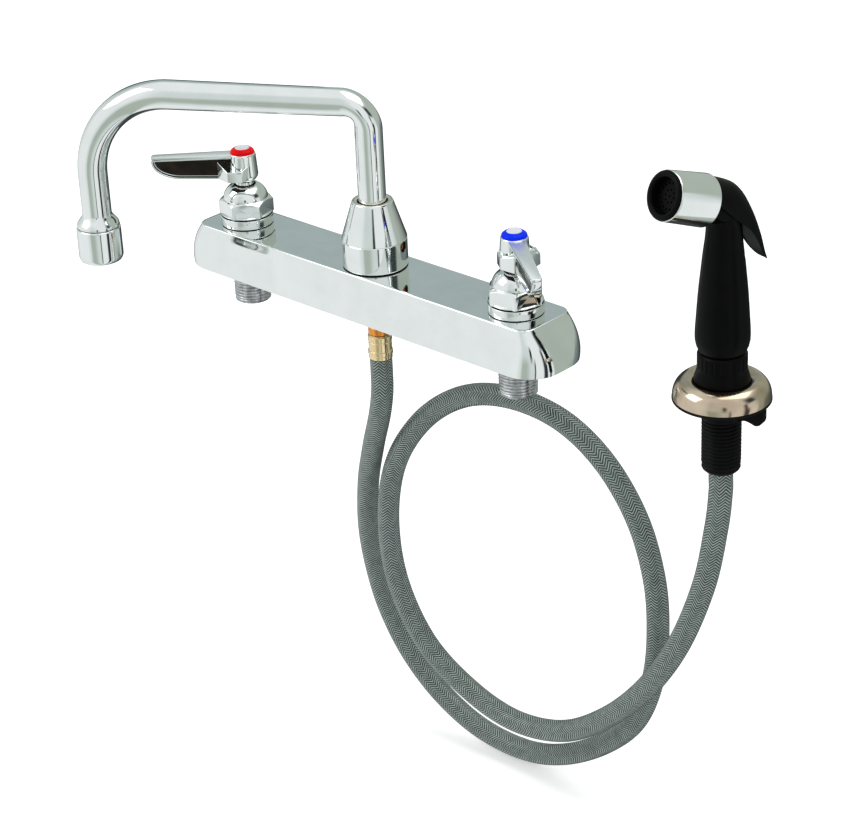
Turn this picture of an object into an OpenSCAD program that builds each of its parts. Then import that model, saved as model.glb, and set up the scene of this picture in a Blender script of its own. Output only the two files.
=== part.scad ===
// Deck-mount mixing faucet with a swing nozzle and a side spray on a hose.
// Millimetres, +Z up. Origin: centre of the body's underside, on the deck (z = 0).
// +X runs along the body toward the cold valve and the side spray, +Y toward the back of the deck.

/* [Body] */
// Height of the body bar above the deck
body_h = 25.4; // [23:0.1:34]
// Length of the body at its top face
body_top_len = 247.3; // [244:0.1:262]
// Length of the body at the deck
body_bottom_len = 268.3; // [264:0.1:290]
// Width of the body at its top face
body_top_w = 38.1; // [36:0.1:46]
// Width of the body at the deck
body_bottom_w = 48; // [47:0.1:60]
// Corner radius of the top face in plan
body_top_corner_r = 7.5; // [4:0.1:12]
// Corner radius of the underside in plan
body_bottom_corner_r = 18.5; // [13:0.1:22]
// Diameter of the cored waterway that joins both valves to the centre
waterway_d = 9; // [6:0.1:10]
// Depth of the clearance recess under the centre of the body
under_recess_depth = 2; // [1:0.1:3]
// Diameter of the clearance recess under the centre of the body
under_recess_d = 24; // [20:0.1:30]

/* [Inlet shanks] */
// Distance between the hot and cold centres
valve_spacing = 203.2; // [198:0.1:208]
// Outside diameter of the threaded inlet shank
shank_d = 20.96; // [18:0.01:22]
// Length of the shank below the deck face
shank_below = 22; // [15:0.5:45]
// Length of the shank screwed into the body
shank_in_body = 8; // [6:0.1:9]
// Diameter of the shank where it is screwed into the body
shank_root_d = 20; // [17:0.1:20.4]
// Bore of the inlet shank
shank_bore_d = 13; // [9:0.1:15]

/* [Valves] */
// Diameter of the ring under the bonnet
ring_d = 30; // [28:0.1:34]
// Height of the ring under the bonnet
ring_h = 6.3; // [4:0.1:9]
// Width across flats of the bonnet hexagon
bonnet_hex_af = 27; // [26:0.1:28]
// Height of the bonnet hexagon
bonnet_hex_h = 9.3; // [7:0.1:13]
// Height of the bonnet dome above the hexagon
bonnet_dome_h = 8.7; // [7:0.1:12]
// Diameter of the bonnet dome at its top
bonnet_dome_top_d = 14; // [13.5:0.1:17]
// Diameter of the threaded bonnet barrel in the body
barrel_d = 20; // [19.5:0.1:21.5]
// Gap between the barrel and the valve chamber floor
barrel_floor_gap = 0.5; // [0.3:0.1:1]
// Wall between the inlet shank and the valve chamber
seat_land = 1.4; // [1:0.1:2]
// Inside diameter of the barrel around the ceramic discs
cartridge_bore_d = 17.5; // [17:0.1:18]
// Thickness of each ceramic disc
disc_t = 3; // [2.5:0.1:3.5]
// Radius of the water sectors cut in the ceramic discs
disc_port_r = 6.2; // [4:0.1:7]
// Diameter of the valve spindle
spindle_d = 10.7; // [9:0.1:11.5]
// Diameter of the packing around the spindle
packing_d = 13.9; // [13.2:0.1:15]
// Height of the packing around the spindle
packing_h = 4; // [2:0.1:6]

/* [Lever handles] */
// Diameter of the handle hub
hub_d = 15.8; // [15:0.1:17]
// Height of the handle hub
hub_h = 15.3; // [15:0.1:22]
// Gap between the bonnet dome and the hub
hub_gap = 2.5; // [0.8:0.1:4]
// Diameter of the spline that carries the handle
spline_d = 7; // [6:0.1:7.6]
// Length of the lever from the valve axis to its tip
lever_len = 52.5; // [44:0.1:54]
// Width of the lever's top face at the hub
lever_root_w = 9.4; // [7:0.1:12]
// Width of the lever's top face at its tip
lever_tip_w = 6.4; // [4:0.1:9]
// Thickness of the lever's top flange
lever_flange_t = 2; // [1.5:0.1:3]
// Depth of the lever fin from its top face to its lower edge
lever_depth = 15.2; // [12:0.1:15.3]
// Fall of the lever's top toward its tip
lever_fall = 2.2; // [0:0.1:4]
// Thickness of the lever's web
lever_web_t = 3.6; // [2:0.1:5]
// Angle of each lever forward of the body's long axis
lever_forward = 37; // [30:1:60]
// Diameter of the coloured index ring
index_d = 13.8; // [12:0.1:14.5]
// Height of the coloured index ring
index_h = 2.7; // [1.5:0.1:4]
// Diameter of the centre cap in the index ring
cap_d = 8.2; // [7.9:0.1:9]
// Head diameter of the handle screw
screw_head_d = 8.6; // [8:0.1:8.7]
// Shank diameter of the handle screw
screw_d = 3.8; // [3:0.1:4.5]

/* [Spout base and swivel] */
// Diameter of the spout base
base_d = 36; // [34:0.1:38]
// Height of the spout base's straight part
base_h = 16.1; // [13:0.1:22]
// Height of the conical spout nut
nut_h = 21.8; // [18:0.1:28]
// Diameter of the conical nut at its top
nut_top_d = 22.8; // [21:0.1:26]
// Clearance hole in the nut around the tube
nut_hole_d = 18.6; // [17.5:0.1:20]
// Diameter of the base's threaded spigot in the body
spigot_d = 22; // [20:0.1:26]
// Length of the base's threaded spigot in the body
spigot_len = 6.4; // [5:0.1:8]
// Bore through the base's spigot
spigot_bore_d = 13; // [12:0.1:14]
// Outside diameter of the swivel sleeve on the tube
swivel_d = 23.9; // [23:0.1:25]
// Length of the swivel sleeve on the tube
swivel_len = 16.9; // [14:0.1:17.5]
// Cross-section of the two swivel o-rings
o_ring_t = 1.5; // [1:0.1:2]
// Diameter of the set screw in the spout base
set_screw_d = 4.6; // [3:0.1:5]
// Angle of the set screw from the body's long axis
set_screw_angle = 15; // [0:1:60]

/* [Nozzle] */
// Outside diameter of the nozzle tube
tube_d = 15.875; // [14:0.005:16.5]
// Wall of the nozzle tube
tube_wall = 1.2; // [0.8:0.1:2]
// Height of the nozzle arm's axis above the deck
arm_z = 118.2; // [110:0.1:180]
// Reach from the riser to the outlet
nozzle_reach = 160; // [158:0.5:240]
// Centre-line radius of the bend above the riser
riser_bend_r = 16; // [12:0.5:30]
// Centre-line radius of the bend above the outlet
outlet_bend_r = 48; // [20:0.5:52]
// Direction of the nozzle arm, measured from the +X axis
nozzle_angle = 209; // [205:1:230]
// Height of the outlet's lowest point above the deck
outlet_z = 19.2; // [15:0.1:24]
// Diameter of the aerator housing
aerator_d = 24.6; // [22:0.1:25]
// Height of the aerator housing's straight part
aerator_h = 19.7; // [16:0.1:22]
// Height of the flare between the tube and the aerator
flare_h = 8; // [5:0.1:11]

/* [Diverter and hose fittings] */
// Diameter of the diverter piston
piston_d = 11.2; // [9:0.1:11.6]
// Travel of the diverter piston
piston_travel = 4; // [2:0.1:4.2]
// Diameter of the spray outlet adapter below the body
adapter_d = 11.6; // [10:0.1:12.5]
// Diameter of the adapter's thread in the body
adapter_thread_d = 16; // [14:0.1:17]
// Length of the adapter below the deck face
adapter_below = 16; // [10:0.1:30]
// Bore of the adapter
adapter_bore_d = 6.2; // [5:0.1:7]
// Diameter of the crimped hose ferrule
ferrule_d = 13.2; // [12.8:0.1:16]
// Length of the crimped hose ferrule
ferrule_len = 14.7; // [10:0.1:20]
// Outside diameter of the braided hose
hose_d = 12.7; // [10:0.1:13.5]

/* [Spray holder] */
// Distance of the spray's axis from the faucet centre, along X
spray_x = 217; // [215:0.5:260]
// Distance of the spray's axis from the faucet centre, along Y
spray_y = 24; // [10:0.5:40]
// Outside diameter of the holder's threaded shank
holder_shank_d = 20.5; // [19:0.1:21]
// Length of the holder's shank below the deck
holder_below = 40.5; // [30:0.5:60]
// Bore of the holder, which the hose runs through
holder_bore_d = 14.4; // [14:0.1:15.5]
// Diameter of the metal escutcheon
escutcheon_d = 50.4; // [46:0.1:60]
// Height of the escutcheon's crest above the deck
escutcheon_h = 11.6; // [11.4:0.1:14]
// Wall of the escutcheon
escutcheon_t = 1; // [0.6:0.1:1.2]
// Thickness of the gasket under the escutcheon
gasket_t = 1.6; // [1:0.1:3]
// Height of the holder's hub above the deck
holder_hub_h = 8; // [7:0.1:8.2]
// Tip radius of the wing nut's lobes
wing_r = 23.5; // [18:0.1:28]
// Height of the wing nut
wing_h = 9.9; // [7:0.1:14]
// Direction of the wing nut's first lobe from the +X axis
wing_angle = 8; // [0:1:90]

/* [Spray handset] */
// Direction of the handset's back from the +X axis
spray_angle = 75.5; // [60:0.5:110]
// Diameter of the spray's ribbed collar
collar_d = 25.6; // [24:0.1:28]
// Height of the collar's top above the deck
collar_top = 26.7; // [24:0.1:27]
// Height of the handle's lower end above the deck
handle_bottom = 27.2; // [27:0.1:29]
// Largest diameter of the handle
grip_d = 28; // [26:0.1:32]
// Diameter of the handle's neck below the head
neck_d = 17.8; // [17:0.1:19]
// Upward tilt of the spray head
head_tilt = 19.3; // [18:0.1:24]
// Height at which the head's axis crosses the handle's axis
head_z = 106; // [105.5:0.1:107]
// Length of the chrome sleeve on the head
sleeve_len = 24.8; // [20:0.1:28]
// Front diameter of the chrome sleeve
sleeve_front_d = 25.2; // [24.5:0.1:27]
// Back diameter of the chrome sleeve
sleeve_back_d = 26.6; // [23.8:0.1:27]
// Angle through which the trigger is squeezed
trigger_travel = 8; // [4:0.5:8]
// Diameter of the trigger's hinge pin
trigger_pin_d = 3; // [2:0.1:3.4]
// Diameter of the spray valve's stem
valve_stem_d = 3.2; // [2.6:0.1:3.4]
// Wire diameter of the spray valve's spring
spring_wire_d = 1; // [0.6:0.1:1.2]
// Turns of the spray valve's spring
spring_turns = 6; // [4:1:9]

/* [Fits] */
// Radial clearance of parts that turn or slide in a bore
running_fit = 0.05; // [0.02:0.01:0.1]
// Radial clearance of parts screwed or pressed together
thread_fit = 0.05; // [0.02:0.01:0.08]
// Gap between faces that move past each other
face_gap = 0.3; // [0.2:0.05:0.4]

/* [Hidden] */

$fn = 64;
through = 1; // extra length of a cut beyond the face it opens
shank_relief = 0.5; // depth of the clearance around the shank at the deck face

// Valve stack, from the deck up
valve_x = valve_spacing / 2;
chamber_floor = shank_in_body + seat_land;
fixed_disc_top = chamber_floor + disc_t;
disc_gap = 0.05;
moving_disc_z = fixed_disc_top + disc_gap;
driver_z = moving_disc_z + disc_t + disc_gap;
driver_t = 1.5;
window_d = 5;
cartridge_top = driver_z + driver_t + window_d + 0.5;
ring_top = body_h + ring_h;
hex_top = ring_top + bonnet_hex_h;
dome_top = hex_top + bonnet_dome_h;
packing_top = ring_top + 2.3;
dome_base_r = bonnet_hex_af / 2 - 0.8;
hot_hex_angle = -15;
cold_hex_angle = 9.5;
hub_z = dome_top + hub_gap;
hub_top = hub_z + hub_h;
screw_seat_z = hub_top - 4.5;
screw_head_h = 2;
screw_len = 9;
cap_top = hub_top + index_h + 0.4;
waterway_z = (body_h + chamber_floor) / 2 - 1;

// Lever
lever_top = hub_top - 0.1;
lever_tip_z = lever_top - lever_fall - 1;
lever_bottom = lever_top - lever_depth;
block_top = hub_z + 7.1;
block_w = 17.2;
block_root = 7;
block_reach = 14.4;
block_tip_w = 7;

// Spout base, nut and swivel
base_top = body_h + base_h;
nut_top = base_top + nut_h;
swivel_chamber_d = swivel_d + 2 * running_fit;
swivel_floor = body_h + 3.6;
nut_spigot_d = swivel_chamber_d + 5.9;
nut_spigot_len = 5.5;
tube_bottom = swivel_floor + 0.5;
sleeve_top = tube_bottom + swivel_len;
thrust_washer_t = 1.4;
swivel_top = sleeve_top + thrust_washer_t + 0.15;
tube_bore_d = tube_d - 2 * tube_wall;
center_floor = 8;
center_bore_d = spigot_d + 2 * thread_fit;
spigot_bottom = body_h - spigot_len;
set_screw_z = base_top - 3.5;

// Nozzle
arm_start = riser_bend_r;
arm_end = nozzle_reach - outlet_bend_r;
aerator_top = outlet_z + aerator_h;
flare_top = aerator_top + flare_h;

// Diverter and hose fittings
diverter_seat_t = 2;
diverter_seat_z = spigot_bottom + 0.2;
piston_t = 2.5;
piston_z = diverter_seat_z - piston_travel - 0.2 - piston_t;
ferrule_top = -adapter_below - 0.3;
ferrule_bottom = ferrule_top - ferrule_len;

// Holder and escutcheon
holder_flange_d = 42;
holder_flange_t = 2.4;
holder_hub_d = 26.6;
escutcheon_lip_d = 27.8;
collar_bottom = holder_hub_h + face_gap;
coupling_d = 17.8;
coupling_spigot_d = 13.8;
coupling_top = 41.9;
washer_z = coupling_top + disc_gap;
washer_t = 2;
handle_ledge = washer_z + washer_t + disc_gap;
coupling_barb_d = 6.5;
coupling_barb_bottom = -8;
spray_chamber_d = 12;
tail_bottom = -holder_below - 0.4;

// Spray valve and head, in the handset's frame: X toward its back, Z up
seat_z = 66;
seat_bore_d = 6.4;
upper_chamber_z = 72;
guide_z = 82;
slot_z = 96;
slot_top = 104;
arm_z0 = 99;
arm_t = 2.5;
stem_top = arm_z0 - 0.2;
seal_t = 3.4;
seal_z = seat_z - disc_gap - seal_t;
stem_flange_t = 1.5;
stem_bottom = seal_z - stem_flange_t - 2;
pin_s = -5.5;
pin_z = 107.5;
knuckle_r = 7;
cheek_gap = 19;
trigger_w = 23.2;
core_d = 21.8;
trigger_d = 23.4;
sleeve_back = 13.7;
sleeve_front = sleeve_back + sleeve_len;
face_seat = sleeve_front - 8;

// Route of the hose from the ferrule, through its two loops, to the holder
HOSE_ROUTE = [
    [0, 0, ferrule_bottom - face_gap], [0, 0, -41], [-0.8, 0.3, -53], [-6, 2.5, -70],
    [-17, 7, -95], [-30, 14, -126],
    [-38, 20, -160], [-40, 26, -192], [-35, 30, -221], [-19, 31, -247], [5, 32, -268],
    [36, 33, -281], [70, 35, -283], [100, 36, -273], [128, 38, -254], [150, 38, -229],
    [162, 38, -197], [167, 36, -162], [165, 35, -129], [155, 33, -95], [136, 29, -65],
    [109, 26, -47], [75, 24, -43], [44, 20, -50], [16, 16, -71], [-4, 12, -103],
    [-9, 8, -140], [-3, 7, -180], [16, 9, -216], [46, 12, -238], [80, 13, -246],
    [114, 15, -240], [144, 16, -220], [171, 17, -191], [193, 19, -155], [208, 22, -113],
    [214.5, 24, -76], [217, 24, -54], [217, 24, -46], [spray_x, spray_y, -holder_below - 0.8],
];
hose_sides = 12;

// ---- Helpers ----

module tube(z0, z1, outer_d, bore_d) {
    difference() {
        translate([0, 0, z0]) cylinder(h = z1 - z0, d = outer_d);
        translate([0, 0, z0 - through]) cylinder(h = z1 - z0 + 2 * through, d = bore_d);
    }
}

module rod(z0, z1, d) {
    translate([0, 0, z0]) cylinder(h = z1 - z0, d = d);
}

module rod_cut(z0, z1, d) {
    translate([0, 0, z0]) cylinder(h = z1 - z0, d = d);
}

// Puts a part on the hot (side -1) or cold (side 1) valve axis
module at_valve(side) {
    translate([side * valve_x, 0, 0]) children();
}

// Turns a lever modelled along +X to its closed direction
module at_lever(side) {
    rotate([0, 0, side > 0 ? -lever_forward : 180 + lever_forward]) children();
}

// Nozzle plane: X along the arm
module at_nozzle() {
    rotate([0, 0, nozzle_angle]) children();
}

// Handset frame: X toward the handset's back, origin on the deck
module at_spray() {
    translate([spray_x, spray_y, 0]) rotate([0, 0, spray_angle]) children();
}

// Head frame: Z along the head axis toward the nozzle face
module at_head() {
    translate([0, 0, head_z]) rotate([0, head_tilt - 90, 0]) children();
}

// Extrudes a side outline (handset X, Z) to a centred width
module side_plate(points, width) {
    rotate([90, 0, 0]) linear_extrude(height = width, center = true) polygon(points);
}

function lerp(a, b, t) = a + (b - a) * t;

// Catmull-Rom point between p[i] and p[i+1]
function spline_point(p, i, t) =
    let (
        n = len(p) - 1,
        a = i == 0 ? 2 * p[0] - p[1] : p[i - 1],
        d = i == n - 1 ? 2 * p[n] - p[n - 1] : p[i + 2],
        b = p[i],
        c = p[i + 1]
    )
    0.5 * (2 * b + (c - a) * t + (2 * a - 5 * b + 4 * c - d) * t * t
        + (3 * b - a - 3 * c + d) * t * t * t);

function spline_path(p, steps) = concat(
    [for (i = [0 : len(p) - 2], k = [0 : steps - 1]) spline_point(p, i, k / steps)],
    [p[len(p) - 1]]
);

function unit(v) = v / norm(v);

function path_tangent(path, i) =
    let (n = len(path) - 1)
    unit(path[min(i + 1, n)] - path[max(i - 1, 0)]);

// Rings of a round tube along a path; up is never parallel to the path
function tube_rings(path, r, sides, up) = [
    for (i = [0 : len(path) - 1])
        let (
            t = path_tangent(path, i),
            u = unit(cross(up, t)),
            v = cross(t, u)
        )
        for (k = [0 : sides - 1])
            path[i] + r * (cos(360 * k / sides) * u + sin(360 * k / sides) * v)
];

function tube_faces(rings, sides) = concat(
    [[for (k = [0 : sides - 1]) sides - 1 - k]],
    [
        for (i = [0 : rings - 2], k = [0 : sides - 1], half = [0, 1])
            let (
                a = i * sides + k,
                b = i * sides + (k + 1) % sides
            )
            half == 0 ? [a, b, b + sides] : [a, b + sides, a + sides]
    ],
    [[for (k = [0 : sides - 1]) (rings - 1) * sides + k]]
);

module swept_tube(path, d, sides, up) {
    polyhedron(
        points = tube_rings(path, d / 2, sides, up),
        faces = tube_faces(len(path), sides),
        convexity = 10
    );
}

// ---- Body and inlet shanks ----

// Thin slice of the body at the share u of its height
module body_slice(u) {
    half_len = lerp(body_top_len, body_bottom_len, 1 - pow(u, 2.2)) / 2;
    half_w = lerp(body_top_w, body_bottom_w, 1 - pow(u, 1.5)) / 2;
    corner = lerp(body_bottom_corner_r, body_top_corner_r, u);
    slice_t = 0.1;
    translate([0, 0, u * (body_h - slice_t)])
        for (sx = [-1, 1], sy = [-1, 1])
            translate([sx * (half_len - corner), sy * (half_w - corner), 0])
                cylinder(h = slice_t, r = corner, $fn = 32);
}

module body_shell() {
    hull() for (u = [0, 0.2, 0.4, 0.6, 0.75, 0.88, 1]) body_slice(u);
}

module faucet_body() {
    chamber_d = barrel_d + 2 * thread_fit;
    color("silver") difference() {
        body_shell();
        for (side = [-1, 1]) at_valve(side) {
            rod_cut(-through, shank_relief, shank_d + 0.6);
            rod_cut(0, shank_in_body, shank_root_d + 2 * thread_fit);
            rod_cut(0, body_h, 2 * disc_port_r);
            rod_cut(chamber_floor, body_h + through, chamber_d);
        }
        translate([-valve_x, 0, waterway_z]) rotate([0, 90, 0])
            cylinder(h = valve_spacing, d = waterway_d);
        rod_cut(center_floor, body_h + through, center_bore_d);
        rod_cut(-through, body_h, adapter_thread_d + 2 * thread_fit);
        rod_cut(-through, under_recess_depth, under_recess_d);
    }
}

module shank() {
    color("silver") difference() {
        union() {
            rod(-shank_below, 0, shank_d);
            rod(-1, shank_in_body, shank_root_d);
        }
        rod_cut(-shank_below - through, shank_in_body + through, shank_bore_d);
    }
}

module hot_shank() { at_valve(-1) shank(); }
module cold_shank() { at_valve(1) shank(); }

// ---- Valves ----

module valve_ring() {
    color("silver") tube(body_h, ring_top, ring_d, barrel_d + 2 * thread_fit);
}

module hot_valve_ring() { at_valve(-1) valve_ring(); }
module cold_valve_ring() { at_valve(1) valve_ring(); }

// Dome outline: bellies out from the top of the hexagon to the spindle
module dome_profile() {
    steps = 6;
    top_r = bonnet_dome_top_d / 2;
    polygon(concat(
        [[0, hex_top - 0.1], [dome_base_r, hex_top - 0.1]],
        [
            for (k = [0 : steps])
                let (t = k / steps)
                [
                    lerp(top_r, dome_base_r, pow(1 - pow(t, 1.25), 0.85)),
                    hex_top + bonnet_dome_h * t
                ]
        ],
        [[0, dome_top]]
    ));
}

// Hexagon, dome and barrel; the hexagon's corners sit at hex_angle
module bonnet(hex_angle) {
    corner_r = bonnet_hex_af / 2 / cos(30);
    color("silver") difference() {
        union() {
            rod(chamber_floor + barrel_floor_gap, ring_top + 0.1, barrel_d);
            intersection() {
                translate([0, 0, ring_top]) rotate(hex_angle)
                    cylinder(h = bonnet_hex_h, r = corner_r, $fn = 6);
                union() {
                    rod(ring_top, hex_top - 2, 2 * corner_r + 1);
                    translate([0, 0, hex_top - 2.001])
                        cylinder(h = 2.001, r1 = corner_r + 0.2, r2 = dome_base_r);
                }
            }
            rotate_extrude() dome_profile();
        }
        rod_cut(0, cartridge_top, cartridge_bore_d);
        rod_cut(0, packing_top, packing_d + 2 * thread_fit);
        rod_cut(0, dome_top + through, spindle_d + 2 * running_fit);
        translate([0, 0, driver_z + driver_t + window_d / 2]) rotate([0, 90, 0])
            cylinder(h = barrel_d + 2 * through, d = window_d, center = true);
    }
}

module hot_bonnet() { at_valve(-1) bonnet(hot_hex_angle); }
module cold_bonnet() { at_valve(1) bonnet(cold_hex_angle); }

// Two opposite water sectors of a ceramic disc
module disc_ports(z) {
    linear_extrude(height = disc_t + 2 * through)
        for (a = [z, z + 180])
            rotate(a) polygon([
                [1.2, 0.6], [disc_port_r, 0.6],
                for (b = [15 : 15 : 75]) disc_port_r * [cos(b), sin(b)],
                [0.6, disc_port_r], [0.6, 1.2],
            ]);
}

// Ceramic disc whose ports start at an angle
module ceramic_disc(z, angle) {
    color("white") difference() {
        rod(z, z + disc_t, cartridge_bore_d - 0.3);
        translate([0, 0, z - through]) disc_ports(angle);
    }
}

module hot_fixed_disc() { at_valve(-1) ceramic_disc(chamber_floor, 0); }
module cold_fixed_disc() { at_valve(1) ceramic_disc(chamber_floor, 0); }
module hot_moving_disc() { at_valve(-1) ceramic_disc(moving_disc_z, 90); }
module cold_moving_disc() { at_valve(1) ceramic_disc(moving_disc_z, 90); }

module stem() {
    color("goldenrod") difference() {
        union() {
            rod(driver_z, driver_z + driver_t, cartridge_bore_d - 0.9);
            rod(driver_z, hub_z - disc_gap, spindle_d);
            rod(hub_z - 1, screw_seat_z - 0.2, spline_d);
        }
        rod_cut(screw_seat_z - screw_len - 0.5, hub_top, screw_d + 2 * thread_fit);
    }
}

module hot_stem() { at_valve(-1) stem(); }
module cold_stem() { at_valve(1) stem(); }

module packing() {
    color("black")
        tube(packing_top - packing_h, packing_top - disc_gap, packing_d, spindle_d + 2 * running_fit);
}

module hot_packing() { at_valve(-1) packing(); }
module cold_packing() { at_valve(1) packing(); }

// ---- Lever handles ----

// Side outline of the fin: deep from the hub, then curving up to the tip
module fin_profile() {
    curl = 16;
    steps = 6;
    polygon(concat(
        [[0, lever_top], [0, lever_bottom]],
        [
            for (k = [0 : steps])
                let (a = 90 * k / steps)
                [
                    lever_len - curl * (1 - sin(a)),
                    lever_tip_z - (lever_tip_z - lever_bottom) * cos(a)
                ]
        ],
        [[lever_len, lever_tip_z + 1]]
    ));
}

module lever_blade() {
    // web
    rotate([90, 0, 0]) linear_extrude(height = lever_web_t, center = true) fin_profile();
    // top flange, falling and narrowing to the tip
    intersection() {
        translate([0, 0, lever_bottom]) linear_extrude(height = lever_top - lever_bottom)
            polygon([
                [0, lever_root_w / 2], [0, -lever_root_w / 2],
                [lever_len, -lever_tip_w / 2], [lever_len, lever_tip_w / 2],
            ]);
        rotate([90, 0, 0]) linear_extrude(height = 2 * lever_root_w, center = true)
            polygon([
                [0, lever_top], [0, lever_top - lever_flange_t],
                [lever_len, lever_tip_z + 1 - lever_flange_t], [lever_len, lever_tip_z + 1],
            ]);
    }
}

// Faceted block between the hub and the fin
module lever_block() {
    translate([0, 0, hub_z]) linear_extrude(height = block_top - hub_z)
        polygon([
            [0, -block_w / 2], [block_root, -block_w / 2], [block_reach, -block_tip_w / 2],
            [block_reach, block_tip_w / 2], [block_root, block_w / 2], [0, block_w / 2],
        ]);
}

module lever_handle(side) {
    chamfer = 0.8;
    color("silver") at_lever(side) difference() {
        union() {
            rod(hub_z, hub_top - chamfer, hub_d);
            translate([0, 0, hub_top - chamfer])
                cylinder(h = chamfer, d1 = hub_d, d2 = hub_d - 2 * chamfer);
            lever_block();
            lever_blade();
        }
        rod_cut(hub_z - through, hub_top, spline_d + 2 * thread_fit);
        rod_cut(screw_seat_z, hub_top + through, cap_d + 1);
    }
}

module hot_handle() { at_valve(-1) lever_handle(-1); }
module cold_handle() { at_valve(1) lever_handle(1); }

module index_ring(ring_color) {
    color(ring_color) difference() {
        translate([0, 0, hub_top]) cylinder(h = index_h, d1 = index_d, d2 = cap_d + 0.6);
        rod_cut(hub_top - through, hub_top + index_h + through, cap_d + 2 * thread_fit);
    }
}

module hot_index_ring() { at_valve(-1) index_ring("red"); }
module cold_index_ring() { at_valve(1) index_ring("blue"); }

module cap() {
    plug_bottom = screw_seat_z + screw_head_h + 0.2;
    color("gainsboro") union() {
        rod(plug_bottom, cap_top - 0.5, cap_d);
        translate([0, 0, cap_top - 0.5]) cylinder(h = 0.5, d1 = cap_d, d2 = cap_d - 1);
    }
}

module hot_cap() { at_valve(-1) cap(); }
module cold_cap() { at_valve(1) cap(); }

module handle_screw() {
    hex_key_af = 3;
    color("dimgray") difference() {
        union() {
            rod(screw_seat_z + disc_gap, screw_seat_z + screw_head_h, screw_head_d);
            rod(screw_seat_z - screw_len, screw_seat_z + 1, screw_d);
        }
        translate([0, 0, screw_seat_z + 0.7])
            cylinder(h = screw_head_h, d = hex_key_af / cos(30), $fn = 6);
    }
}

module hot_handle_screw() { at_valve(-1) handle_screw(); }
module cold_handle_screw() { at_valve(1) handle_screw(); }

// ---- Spout base and swivel ----

module at_set_screw() {
    rotate([0, 0, set_screw_angle]) translate([0, 0, set_screw_z]) rotate([0, 90, 0]) children();
}

module spout_base() {
    color("silver") difference() {
        union() {
            rod(spigot_bottom, body_h + 1, spigot_d);
            rod(body_h, base_top, base_d);
        }
        rod_cut(spigot_bottom - through, base_top, spigot_bore_d);
        rod_cut(swivel_floor, base_top + through, swivel_chamber_d);
        rod_cut(base_top - nut_spigot_len - 0.2, base_top + through, nut_spigot_d + 2 * thread_fit);
        at_set_screw() cylinder(h = base_d, d = set_screw_d + 2 * thread_fit);
        at_set_screw() translate([0, 0, base_d / 2 - 1.2]) cylinder(h = base_d, d = set_screw_d + 2);
    }
}

module spout_nut() {
    bead = 0.8;
    color("silver") difference() {
        union() {
            rod(base_top - nut_spigot_len, base_top + 1, nut_spigot_d);
            translate([0, 0, base_top])
                cylinder(h = nut_h - bead, d1 = base_d, d2 = nut_top_d);
            translate([0, 0, nut_top - bead]) cylinder(h = bead, d1 = nut_top_d, d2 = nut_top_d - bead);
        }
        rod_cut(base_top - nut_spigot_len - through, swivel_top, swivel_chamber_d);
        rod_cut(base_top, nut_top + through, nut_hole_d);
    }
}

module spout_set_screw() {
    inner_r = nut_spigot_d / 2 + 0.1;
    outer_r = base_d / 2 - 1.2;
    hex_key_af = 2;
    color("peru") at_set_screw() difference() {
        rod(inner_r, outer_r, set_screw_d);
        translate([0, 0, outer_r - 1]) cylinder(h = 2, d = hex_key_af / cos(30), $fn = 6);
    }
}

o_ring_z = [tube_bottom + 3.5, tube_bottom + 9.5];

module swivel_sleeve() {
    groove_w = o_ring_t + 0.2;
    color("goldenrod") difference() {
        tube(tube_bottom, sleeve_top, swivel_d, tube_d + 0.02);
        for (z = o_ring_z)
            tube(z - groove_w / 2, z + groove_w / 2, swivel_d + 2, swivel_d - 2 * o_ring_t);
    }
}

module swivel_o_rings() {
    color("black")
        for (z = o_ring_z)
            translate([0, 0, z]) rotate_extrude()
                translate([(swivel_d - o_ring_t) / 2 + 0.02, 0]) circle(d = o_ring_t - 0.02, $fn = 24);
}

module swivel_thrust_washer() {
    color("white") tube(sleeve_top, sleeve_top + thrust_washer_t, swivel_d - 0.1, tube_d + 0.1);
}

// ---- Nozzle ----

// Solid along the tube's centre line at a given diameter, from the base to the outlet
module nozzle_core(d, bottom, outlet_end) {
    rod(bottom, arm_z - riser_bend_r, d);
    translate([riser_bend_r, 0, arm_z - riser_bend_r]) rotate([90, 0, 0])
        rotate([0, 0, 90]) rotate_extrude(angle = 90) translate([riser_bend_r, 0]) circle(d = d);
    translate([arm_start, 0, arm_z]) rotate([0, 90, 0]) cylinder(h = arm_end - arm_start, d = d);
    translate([arm_end, 0, arm_z - outlet_bend_r]) rotate([90, 0, 0])
        rotate_extrude(angle = 90) translate([outlet_bend_r, 0]) circle(d = d);
    translate([nozzle_reach, 0, 0]) rod(outlet_end, arm_z - outlet_bend_r, d);
}

module spout_tube() {
    flare_d = aerator_d - 1;
    color("silver") at_nozzle() difference() {
        union() {
            nozzle_core(tube_d, tube_bottom, flare_top - 1);
            translate([nozzle_reach, 0, aerator_top])
                cylinder(h = flare_h, d1 = flare_d, d2 = tube_d);
        }
        nozzle_core(tube_bore_d, tube_bottom - through, aerator_top - through);
        translate([nozzle_reach, 0, 0]) rod_cut(aerator_top - through, aerator_top + 2, flare_d - 4);
    }
}

aerator_bore_d = aerator_d - 3;
aerator_lip_d = aerator_d - 6;

module aerator_housing() {
    edge = 1.5;
    color("silver") at_nozzle() translate([nozzle_reach, 0, 0]) difference() {
        union() {
            rod(outlet_z + edge, aerator_top, aerator_d);
            translate([0, 0, outlet_z]) cylinder(h = edge, d1 = aerator_d - edge, d2 = aerator_d);
        }
        rod_cut(outlet_z - through, aerator_top, aerator_lip_d);
        rod_cut(outlet_z + 3, aerator_top + through, aerator_bore_d);
    }
}

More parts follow.
